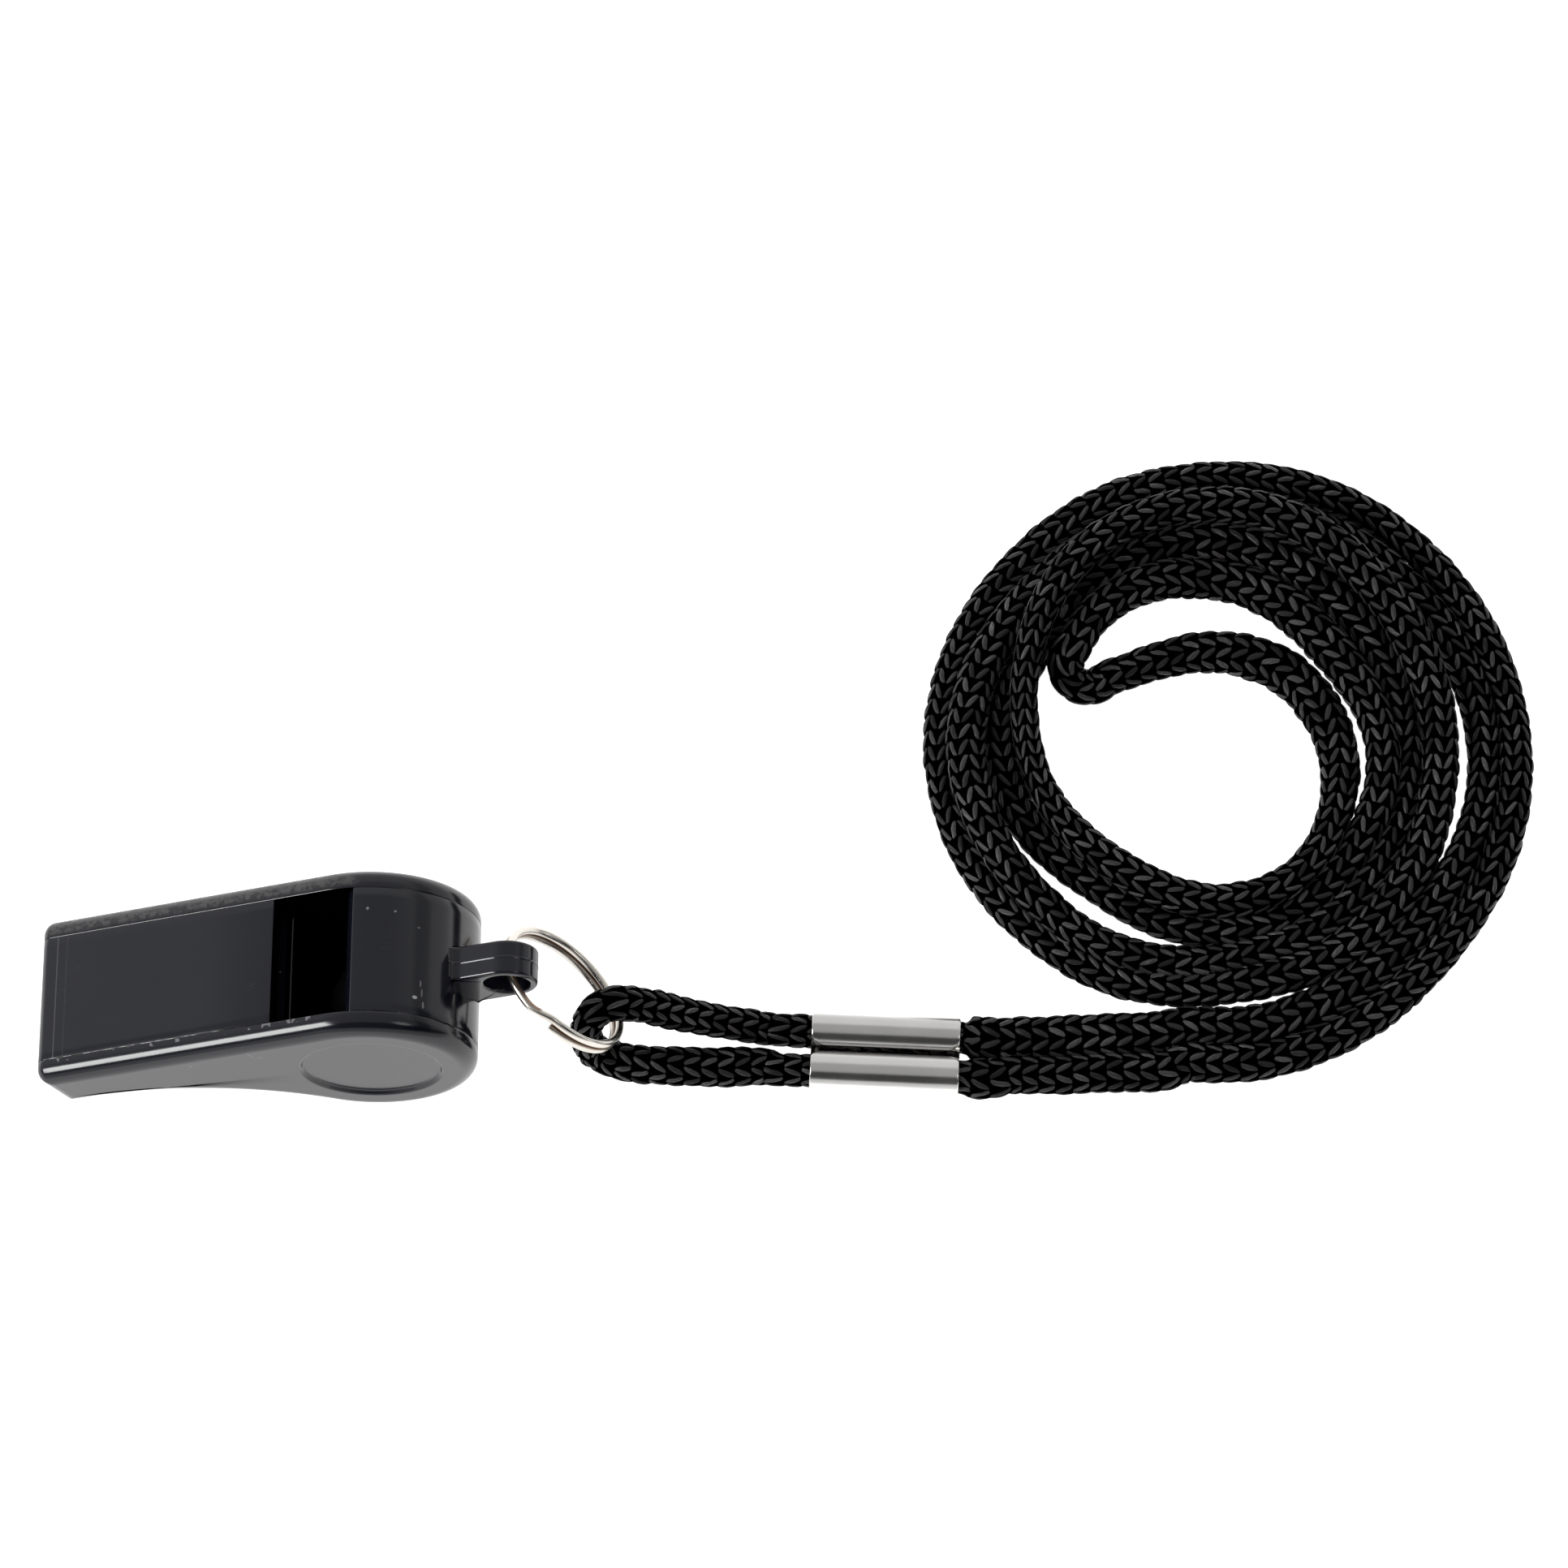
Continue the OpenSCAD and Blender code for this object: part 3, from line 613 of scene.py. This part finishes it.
def band_mesh():
    """Strips of the profile over four columns, less two cells, plus the windway's four walls and
    the two side faces."""
    profile, ends = band_profile()
    n = len(profile)
    tip_cell, window_cell = ends[1], ends[6] + 1
    half_way, half_band = band_w / 2 - windway_wall, band_w / 2
    columns = np.array([-half_band, -half_way, half_way, half_band])
    points = lean(profile[:, None, 0], columns[None, :], profile[:, None, 1])
    index = np.arange(n * 4).reshape(n, 4)
    nxt = np.roll(index, -1, 0)
    faces = []
    for k in range(3):
        quads = np.stack([index[:, k], nxt[:, k], nxt[:, k + 1], index[:, k + 1]], -1)
        if k == 1:
            quads = np.delete(quads, [tip_cell, window_cell], axis=0)
        faces += quads.tolist()
    faces += [index[:, 3].tolist(), index[::-1, 0].tolist()]
    neck = np.array([[-mouth_len + flare_len, roof_z], [-mouth_len + flare_len, windway_z]])
    extra = lean(neck[:, None, 0], columns[None, 1:3], neck[:, None, 1]).reshape(-1, 3)
    a, b = n * 4 + np.array([0, 1]), n * 4 + np.array([2, 3])
    top_tip, low_tip = index[tip_cell, 1:3], index[tip_cell + 1, 1:3]
    low_window, top_window = index[window_cell, 1:3], index[window_cell + 1, 1:3]
    walls = [[p[0], p[1], q[1], q[0]] for p, q in (
        (top_tip, a), (a, top_window), (b, low_tip), (low_window, b))]
    for k, order in ((0, 1), (1, -1)):
        walls += [[top_tip[k], a[k], b[k], low_tip[k]][::order],
                  [a[k], top_window[k], low_window[k], b[k]][::order]]
    return np.concatenate([points.reshape(-1, 3), extra]), faces + np.array(walls).tolist()


band_bevel = 0.07
band_points, band_faces = band_mesh()
band = make_piece("moulded_band", band_points, faces=band_faces)
round_edges(band, band_bevel * MM)

# %% [markdown]
# ## The lug
# The lug is a thick tab with a round eye, moulded onto the chamber's wall with hollow fillets. Its
# surface closes both ways, as a ring's does: the outline of the tab goes round one way, and the
# section from the hole over the flat to the edge the other way.

# %% Lug


def lug_outline(inset):
    """Outline of the tab round its hole, moved inwards: eye, upper edge, upper fillet, a root
    inside the chamber's wall, lower fillet and lower edge."""
    eye_r, root_r = lug_hole_r + lug_wall, barrel_r - 0.5 * barrel_wall
    eye = arc(lug_reach, -lug_drop, eye_r - inset, -90, 90, 33)
    fillets = []
    for side in (1, -1):
        z = side * eye_r - lug_drop + side * lug_fillet
        x = math.sqrt((barrel_r + lug_fillet) ** 2 - z**2)
        fillets.append((x, z, math.degrees(math.atan2(-z, -x)) % 360, math.degrees(math.atan2(z, x))))
    (upper_x, upper_z, upper_turn, upper_root), (lower_x, lower_z, lower_turn, lower_root) = fillets
    upper = arc(upper_x, upper_z, lug_fillet + inset, 270, upper_turn, 12)
    root = arc(0, 0, root_r, upper_root, lower_root, 15)
    lower = arc(lower_x, lower_z, lug_fillet + inset, lower_turn, 90, 12)
    return np.concatenate([eye, straight(eye[-1], upper[0], 5), upper, root, lower,
                           straight(lower[-1], eye[0], 5)])


def lug_grid():
    """Rows are sections from the hole's middle over one flat, the outer edge with a thin parting
    line, and back over the other flat. Columns follow the outline."""
    outer = lug_outline(0.0)
    a = np.unwrap(np.arctan2(outer[:, 1] + lug_drop, outer[:, 0] - lug_reach))
    hole = lambda off: [lug_reach, -lug_drop] + (lug_hole_r + off) * np.stack([np.cos(a), np.sin(a)], -1)
    half, rim, edge, beside = lug_t / 2, 0.3, 0.35, 0.06
    one_side = [(hole(0), across) for across in (0, half - rim - 0.1, half - rim)]
    one_side += round_edge(hole, rim, half, np.linspace(18, 90, 5))
    one_side += [(hole(rim + beside), half), (lug_outline(edge + beside), half)]
    one_side += round_edge(lug_outline, edge, half, np.linspace(90, 0, 6))
    one_side += [(outer, half - edge - beside), (outer, 0.16), (outer, 0.1), (lug_outline(-0.04), 0.04)]
    return lean_rows(one_side + [(row, -across) for row, across in one_side[::-1]][:-1])


lug_points = lug_grid()
lug = make_piece("moulded_lug", lug_points, faces=grid_faces(*lug_points.shape[:2], wrap_rows=True).tolist())

# %% [markdown]
# ## The pea
# A light ball lies loose in the chamber and chops the sound. The window is dark, so little of it
# shows, but it turns with its joint. A sphere from rings of points gets the thin seam of its two
# moulded halves and a slightly uneven surface.

# %% Pea


def pea_points():
    """Sphere with a fine seam at its middle: r + 0.04 exp(-(y / 0.15)^2) plus a small ripple."""
    polar = np.radians(np.linspace(2, 178, 65))[:, None]
    around = np.radians(np.arange(0, 360, 4))[None, :]
    way = together(np.sin(polar) * np.cos(around), np.cos(polar), np.sin(polar) * np.sin(around))
    y = way[..., 1] * pea_d / 2
    r = pea_d / 2 - 0.06 + 0.04 * np.exp(-((y / 0.15) ** 2)) + 0.015 * ripple(way * 9, 1.0, 4)
    centre = np.array([-origin_x, 0, barrel_r - chamber_r + pea_d / 2 + pea_play])
    return (centre + way * r[..., None]) * MM


pea = make_piece("loose_pea", pea_points(), 60)

# %% [markdown]
# ## Shader maths
# A finish is a tree of nodes. Written node by node it hides its sum, so one small class lets
# Python's own operators add the Math nodes, and one method adds any other node. The sky is such a
# tree as well, so what a material and a world share has a class of its own.

# %% Sockets, trees of nodes and finishes


class Socket:
    """One output of a node. Each operator on it adds a Math node to the same tree."""

    def __init__(self, nodes, output):
        self.nodes, self.output = nodes, output

    def math(self, operation, *others):
        return self.nodes.node("ShaderNodeMath", {"operation": operation}, dict(enumerate((self, *others))))

    def also(self, name):
        """Another output of the same node."""
        return Socket(self.nodes, self.output.node.outputs[name])

    def __add__(self, other):
        return self.math("ADD", other)

    def __sub__(self, other):
        return self.math("SUBTRACT", other)

    def __rsub__(self, other):
        return self.math("MULTIPLY_ADD", -1, other)

    def __mul__(self, other):
        return self.math("MULTIPLY", other)

    def __pow__(self, other):
        return self.math("POWER", other)

    def __abs__(self):
        return self.math("ABSOLUTE")

    __radd__, __rmul__ = __add__, __mul__


class Nodes:
    """The nodes of a material or a world, which grow by expressions."""

    def __init__(self, tree):
        self.tree = tree

    def plug(self, socket, value):
        """Sets or links one input of a node."""
        if isinstance(value, Socket):
            self.tree.links.new(value.output, socket)
        else:
            socket.default_value = value

    def node(self, kind, settings, values, output=0):
        """Any node: its settings first, a ramp's stops among them, then the values of its sockets."""
        node = self.tree.nodes.new(kind)
        for key, value in settings.items():
            if key == "stops":
                ramp = node.color_ramp.elements
                while len(ramp) < len(value):
                    ramp.new(0.5)
                for element, (place, level) in zip(ramp, value):
                    element.position, element.color = place, (level, level, level, 1)
            else:
                setattr(node, key, value)
        for key, value in values.items():
            self.plug(node.inputs[key], value)
        return Socket(self, node.outputs[output])

    def parts(self, vector):
        """The three coordinates of a vector."""
        x = self.node("ShaderNodeSeparateXYZ", {}, {"Vector": vector}, "X")
        return x, x.also("Y"), x.also("Z")

    def vector(self, x, y, z=0.0):
        """A vector of three coordinates."""
        return self.node("ShaderNodeCombineXYZ", {}, {"X": x, "Y": y, "Z": z})

    def noise(self, where, scale, detail=2.0, roughness=0.5):
        """Noise from 0 to 1 at a place, with so many lumps in a metre."""
        return self.node("ShaderNodeTexNoise", {}, {"Vector": where, "Scale": scale, "Detail": detail,
                                                   "Roughness": roughness}, "Fac")

    def steps(self, value, low, high):
        """0 below low, 1 above high, and smooth between."""
        return self.node("ShaderNodeMapRange", {"interpolation_type": "SMOOTHSTEP"},
                         {"Value": value, "From Min": low, "From Max": high})

    def line(self, value, half_width, end):
        """1 where a value is nearly zero, 0 from the end on, to both sides."""
        return 1 - self.steps(abs(value), half_width, end)

    def spot(self, along, across, half_sizes):
        """1 inside an ellipse round the zero of two coordinates, 0 outside."""
        a, b = along * (1 / half_sizes[0]), across * (1 / half_sizes[1])
        return 1 - self.steps(a * a + b * b, 0.7, 1.1)

    def mix(self, share, a, b):
        """Colour between a and b."""
        a, b = ((*colour, 1) if isinstance(colour, tuple) else colour for colour in (a, b))
        return self.node("ShaderNodeMix", {"data_type": "RGBA"}, {0: share, 6: a, 7: b}, 2)


class Finish(Nodes):
    """A material with one Principled shader."""

    def __init__(self, name, **constants):
        self.material = bpy.data.materials.new(name)
        self.material.use_nodes = True
        super().__init__(self.material.node_tree)
        self.shader = self.tree.nodes["Principled BSDF"]
        for socket, value in constants.items():
            self.set(socket.replace("_", " "), value)

    def set(self, socket, value):
        """Sets or links one input of the shader."""
        self.plug(self.shader.inputs[socket], value)

    def coat(self, colour, roughness):
        """Colour and roughness, kept so that marks can be laid over them."""
        self.colour, self.roughness = colour, roughness
        self.set("Base Color", colour)
        self.set("Roughness", roughness)

    def mark(self, mask, colour, roughness):
        """Lays a mark over the finish, with its own colour and roughness where the mask is 1."""
        self.coat(self.mix(mask, self.colour, colour), self.roughness + (roughness - self.roughness) * mask)

    def bump(self, height, distance, strength=1.0):
        """Relief from a height, its full height in metres."""
        self.set("Normal", self.node("ShaderNodeBump", {}, {"Height": height, "Distance": distance,
                                                           "Strength": strength}, "Normal"))

    def darken(self, share):
        """Mixes in a black that reflects nothing, for places that light doesn't reach."""
        black = self.node("ShaderNodeBsdfPrincipled", {}, {
            "Base Color": (0.0003, 0.0003, 0.0003, 1), "Roughness": 1.0, "Specular IOR Level": 0.0})
        finished = Socket(self, self.shader.outputs[0])
        self.plug(self.tree.nodes["Material Output"].inputs["Surface"],
                  self.node("ShaderNodeMixShader", {}, {0: share, 1: finished, 2: black}))

    def place(self, stretch=(1, 1, 1), turn=(0, 0, 0)):
        """Object coordinates, stretched and turned."""
        here = self.node("ShaderNodeTexCoord", {}, {}, "Object")
        return self.node("ShaderNodeMapping", {}, {"Vector": here, "Scale": stretch, "Rotation": turn})

    def own_place(self):
        """Coordinates along the roof, across, and square to the roof, from the chamber's axis, in mm."""
        here = self.node("ShaderNodeTexCoord", {}, {}, "Object")
        axis = tuple(lean(0.0, 0.0, 0.0))
        shift = self.node("ShaderNodeVectorMath", {"operation": "SUBTRACT"}, {0: here, 1: axis})
        return self.parts(self.node("ShaderNodeMapping", {}, {
            "Vector": shift, "Rotation": (0, tilt, 0), "Scale": (1000, 1000, 1000)}))

    def on(self, *pieces):
        """Puts this finish on pieces, in place of what they have."""
        for piece in pieces:
            piece.data.materials.clear()
            piece.data.materials.append(self.material)
        print(self.material.name, "has", len(self.tree.nodes), "nodes on", [p.name for p in pieces])


# %% [markdown]
# ## Moulded plastic
# The body is black plastic from a polished mould. Up close it isn't perfect: its gloss varies a
# little, pale specks of dust sit on it, and a few fine scratches cross it. Specks come from a
# Voronoi texture cut off close to its points, scratches from noise that is stretched far along
# one direction. Single marks stand at places of their own, in millimetres from the chamber's axis:
# chips on the barrel and the side, two painted highlight lines across the roof near the tip, and
# flash along both welds, with pale crumbs on the near weld that are flash bits painted with their
# glints. Light doesn't reach the chamber, the window and the faces inside a seam, so they get
# painted shade.

# %% Moulded plastic


def moulded(name, colour, roughness, seed):
    """Black plastic: colour, specks and scratches, all by object coordinates."""
    finish = Finish(name, IOR=1.53)
    here = finish.place()
    cloud = finish.noise(here, 140.0, 3.0)
    dust = finish.node("ShaderNodeTexVoronoi", {}, {"Vector": here, "Scale": 330.0 + seed}, "Distance")
    speck = (1 - finish.steps(dust, 0.03, 0.07)) * finish.steps(finish.noise(here, 210.0 + seed), 0.56, 0.6)
    hair = finish.noise(finish.place((60, 900, 60), (0.3, 0.2, 0.5 + seed)), 1.0, 1.0)
    scratched = finish.steps(finish.noise(here, 95.0 + seed), 0.6, 0.66)
    scratch = finish.line(hair - 0.5, 0.0015, 0.006) * scratched
    clouded = finish.mix(cloud, tuple(0.8 * c for c in colour), tuple(1.25 * c for c in colour))
    dusty = finish.mix(speck * 0.55, clouded, (0.36, 0.36, 0.37))
    finish.coat(finish.mix(scratch * 0.04, dusty, (0.3, 0.3, 0.31)),
                roughness + 0.04 * finish.noise(here, 520.0, 2.0) + speck * 0.3 + scratch * 0.1)
    finish.bump(finish.noise(here, 260.0, 2.0), 0.000012, 0.35)
    return finish


# %% The body, with its marks, painted highlights at the tip and painted shade inside
body = moulded("body plastic", (0.0058, 0.0064, 0.0118), 0.12, 3)
x, y, z = body.own_place()
for along, across, half_sizes, level in (
    (8.58, -4.9, (0.18, 0.2), 0.8), (6.91, 4.3, (0.12, 0.12), 0.4), (8.72, 2.85, (0.1, 0.1), 0.3),
    (8.95, -3.3, (0.06, 0.4), 0.3), (9.05, -4.3, (0.06, 0.5), 0.25), (9.15, -5.6, (0.07, 0.4), 0.35),
):
    body.mark(body.spot(x - along, y - across, half_sizes) * level, (0.5, 0.5, 0.51), 0.5)
on_roof = body.steps(z, 10.6, 10.8)
# Painted highlights: two pale lines across the roof near the tip stand in for light on a rounder edge.
body.mark(body.line(x + 31.95, 0.04, 0.11) * on_roof * 0.3, (0.16, 0.16, 0.17), 0.4)
body.mark(body.line(x + 30.8, 0.03, 0.12) * on_roof * 0.12, (0.1, 0.1, 0.11), 0.4)
in_chamber = 1 - body.steps((x * x + z * z) ** 0.5, 9.43, 9.5)
window_front_wall = body.steps(x, -6.2, -6.15) * (1 - body.steps(x, -5.55, -5.5))
in_window = window_front_wall * body.steps(z, 0.0, 1.0) * (1 - body.steps(z, 10.86, 10.9))
near_seam = body.steps(y * -1, 6.76, 6.79) * body.steps(body.noise(body.place(), 900.0, 2.0), 0.4, 0.62)
body.darken(in_chamber.math("MAXIMUM", in_window).math("MAXIMUM", near_seam * 0.8))
body.on(band, lug)

# %% The plates, with flash along both welds and painted glints on the near one
plates = moulded("plate plastic", (0.0064, 0.0068, 0.0118), 0.14, 11)
x, y, z = plates.own_place()
mottle = plates.steps(plates.noise(plates.place(), 1500.0, 4.0, 0.65), 0.42, 0.58)
far_weld = plates.steps(y, 6.95, 7.6) * plates.steps(z, 10.3, 10.55) * (1 - plates.steps(x, 2.5, 4.5))
plates.mark(far_weld * (0.25 + 0.75 * mottle), (0.062, 0.058, 0.058), 0.5)
near_weld = plates.steps(y, -7.34, -7.24) * (1 - plates.steps(y, -6.0, -5.0)) * plates.steps(z, 10.85, 10.9)
# Flash bits along the near weld, painted pale for the glints that they catch: partly real flash, partly
# painted highlight.
flash_glint_crumbs = plates.steps(plates.noise(plates.place((1, 0.6, 1)), 1300.0, 2.0), 0.6, 0.66)
plates.mark(near_weld * flash_glint_crumbs * 0.8, (0.2, 0.2, 0.21), 0.45)
near_face = 1 - plates.steps(y, -8.6, -8.4)
for along, height, half_sizes, level in (
    (-16.8, 8.4, (0.14, 0.14), 0.5), (-9.6, 8.6, (0.09, 0.8), 0.3), (-9.1, 7.7, (0.35, 0.1), 0.3),
):
    plates.mark(plates.spot(x - along, z - height, half_sizes) * near_face * level, (0.45, 0.45, 0.46), 0.5)
plates.darken(plates.line(y, 6.86, 6.88))
plates.on(front_plate, back_plate)

# %% [markdown]
# ## The pea's finish
# The ball is matte black plastic with a fine grain, so it stays dark in the window.

# %% Matte black ball
pea_finish = Finish("pea plastic")
grain = pea_finish.noise(pea_finish.place(), 1600.0, 4.0)
pea_finish.coat(pea_finish.mix(grain, (0.012, 0.012, 0.013), (0.028, 0.028, 0.03)), 0.6)
pea_finish.bump(grain, 0.00004, 0.6)
pea_finish.on(pea)

# %% [markdown]
# ## Nickel plate
# The ring and the clip are nickel-plated. Nickel is a little warmer and darker than chrome. The
# drawn wire has tarnish between its turns, and the rolled sheet has faint brush lines and small
# dents.

# %% Nickel on the ring and the clip
wire = Finish("nickel wire", Metallic=1.0)
where = wire.place()
rub = wire.noise(where, 420.0, 3.0, 0.6)
stain = wire.node("ShaderNodeAttribute", {"attribute_name": "tarnish"}, {}, "Fac")
stain = stain * (0.55 + 0.45 * wire.noise(where, 900.0, 2.0))
clean = wire.mix(rub, (0.62, 0.58, 0.52), (0.8, 0.77, 0.72))
wire.coat(wire.mix(stain, clean, (0.22, 0.1, 0.045)), 0.14 + 0.16 * rub + 0.35 * stain)
wire.bump(wire.noise(where, 2600.0, 2.0), 0.00001, 0.4)
wire.on(ring_piece)

sheet = Finish("nickel sheet", Metallic=1.0)
where = sheet.place()
rub = sheet.noise(where, 300.0, 3.0, 0.6)
brushed = sheet.noise(sheet.place((150, 4200, 4200)), 1.0, 2.0)
sheet.coat(sheet.mix(rub, (0.7, 0.69, 0.68), (0.82, 0.81, 0.79)), 0.1 + 0.1 * rub + 0.08 * brushed)
sheet.bump(0.7 * brushed + sheet.noise(where, 420.0, 1.0), 0.00001, 0.5)
sheet.on(cord_clip)

# %% [markdown]
# ## Knitted yarn
# The yarn is black polyester. Its filaments run along the legs of the V's, and fine glints on
# them are painted into the colour. The legs are painted lighter, and the grooves between them get
# painted shade, black. The UV map counts stitches and wales, so the same zigzag that shaped the
# mesh gives the place across a leg, and a white noise of the stitch and the half wale gives each
# leg a tone of its own.

# %% Knitted yarn
yarn = Finish("black yarn", Specular_IOR_Level=0.4)
stitches, around, _ = yarn.parts(yarn.node("ShaderNodeUVMap", {"uv_map": "stitches"}, {}))
fibre = yarn.noise(yarn.vector(stitches * 16, around * 2.2), 1.0, 3.0, 0.7)
lump = yarn.noise(yarn.vector(stitches * 2.1, around * 2.3, 5.0), 1.0, 2.0)
off_ridge = abs(stitches.math("FRACT") * 2 - 1)
off_flank = abs((around * 4).math("PINGPONG", 2.0) - 1)
which_leg = yarn.vector(stitches.math("FLOOR"), (around * 2).math("FLOOR"))
tone = yarn.node("ShaderNodeTexWhiteNoise", {}, {"Vector": which_leg}, "Value")
rounded = 0.74 - 0.8 * off_flank * off_flank - off_ridge
leg = yarn.steps(rounded + 0.24 * (fibre - 0.5) + 0.3 * (lump - 0.5), 0.0, 0.16)
# Painted glints: pale streaks along the fibres of the legs.
painted_glint = yarn.steps(fibre, 0.57, 0.68) * leg * tone
# Painted light and shade: legs lighter and grooves near black, with the fibres and each leg's own tone.
leg_tone_and_painted_light = leg * (0.3 + 0.7 * fibre) * (0.25 + 0.75 * tone)
plain = yarn.mix(leg_tone_and_painted_light, (0.002, 0.002, 0.002), (0.092, 0.086, 0.087))
yarn.coat(yarn.mix(painted_glint, plain, (0.3, 0.294, 0.294)), 0.62 - 0.27 * leg)
yarn.bump(fibre * (1 - off_ridge), 0.00007, 0.9)
# Painted shade: a black that reflects nothing fills the grooves and dims the legs by their tone.
yarn.darken(1 - leg * (0.45 + 0.55 * tone))
yarn.on(front_strand, back_strand, eye_cord)

# %% [markdown]
# ## Light and floor
# The photograph shows a white table in soft studio light. The world gives the broad white walls,
# with a darker ceiling above the camera, a dim gap on the right and one small bright pane high up
# on that side. One large lamp low on the left gives the long highlight on the near edge. The
# floor answers white to the camera and to reflections, and still takes a faint shadow.

# %% Floor
floor_mesh = bpy.data.meshes.new("table_top")
reach = 3.0
corners = [(-reach, -reach, 0), (reach, -reach, 0), (reach, reach, 0), (-reach, reach, 0)]
floor_mesh.from_pydata(corners, [], [(0, 1, 2, 3)])
floor = bpy.data.objects.new("table_top", floor_mesh)
bpy.context.scene.collection.objects.link(floor)
table_white = Finish("white table", Base_Color=(0.9, 0.9, 0.9, 1), Roughness=1.0, Specular_IOR_Level=0.0,
                     Emission_Color=(1, 1, 1, 1))
camera_ray = table_white.node("ShaderNodeLightPath", {}, {}, "Is Camera Ray")
straight_ray = camera_ray.math("MAXIMUM", camera_ray.also("Is Transmission Ray"))
seen = (camera_ray.also("Is Glossy Ray") * 0.8).math("MAXIMUM", straight_ray)
table_white.set("Emission Strength", seen * 0.97)
table_white.on(floor)

# %% World
world = bpy.data.worlds.new("studio")
bpy.context.scene.world = world
world.use_nodes = True
studio = Nodes(world.node_tree)
x_way, y_way, z_way = studio.parts(studio.node("ShaderNodeTexCoord", {}, {}, "Generated"))
over = z_way.math("ARCTAN2", y_way * -1) * (1 / math.pi)
sky = studio.node("ShaderNodeValToRGB", {"stops": [
    (0.0, 0.8), (0.12, 0.7), (0.16, 0.05), (0.35, 0.05), (0.4, 0.37), (0.62, 0.4), (0.68, 0.7), (0.86, 0.74),
    (1.0, 0.95)]}, {"Fac": over}, "Color")
right_gap = studio.steps(x_way, 0.45, 0.7) * studio.line(z_way - 0.52, 0.08, 0.16)
towards_pane = x_way * 0.55 + y_way * -0.25 + z_way * 0.8
level = sky - 0.3 * right_gap + 1.6 * studio.steps(towards_pane, 0.985, 0.996)
camera_ray = studio.node("ShaderNodeLightPath", {}, {}, "Is Camera Ray")
background = world.node_tree.nodes["Background"]
studio.plug(background.inputs["Strength"], level.math("MAXIMUM", camera_ray))
studio.plug(background.inputs["Color"], (1, 1, 1, 1))
print("World nodes:", len(world.node_tree.nodes))

# %% Lamp
lamp_data = bpy.data.lights.new("low_softbox", "AREA")
lamp_data.shape = "RECTANGLE"
lamp_data.size, lamp_data.size_y = 0.42, 0.3
lamp_data.energy = 5.6
lamp = bpy.data.objects.new("low_softbox", lamp_data)
lamp.location = (-0.75, -0.22, 0.53)
lamp.rotation_euler = (-lamp.location).to_track_quat("-Z", "Y").to_euler()
bpy.context.scene.collection.objects.link(lamp)

# %% [markdown]
# ## Tie every piece to the frame
# Each piece rides on the body that carries it and stands for its CAD node. The short eye of the
# cord has its place baked into its mesh and rides on no body. The cords say how long they are.

# %% Bodies, hidden CAD nodes and cords
for piece, body_name, slot, *nodes in (
    (band, "whistle", "body_plastic", "centre_band"),
    (front_plate, "whistle", "plate_plastic", "front_side_plate"),
    (back_plate, "whistle", "plate_plastic", "back_side_plate"),
    (pea, "pea", "pea_plastic", "pea"),
    (ring_piece, "split_ring", "ring_wire", "split_ring"),
    (cord_clip, "whistle", "clip_sheet", "cord_clip"),
    (lug, "whistle", "body_plastic", "centre_band"),
    (front_strand, "whistle", "cord_knit", "front_cord_lead", "neck_coil"),
    (back_strand, "whistle", "cord_knit", "back_cord_lead"),
):
    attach(piece, body_name)
    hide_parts(*nodes)
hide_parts("cord_eye")
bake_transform(eye_cord)

every = 8
for piece, middle in strands:
    route = to_row(middle[::every])
    run = float(np.linalg.norm(np.diff(route, axis=0), axis=1).sum())
    if piece is back_strand:
        route = route[::-1]
    print(piece.name, "is", round(run * 1000, 1), "mm long")
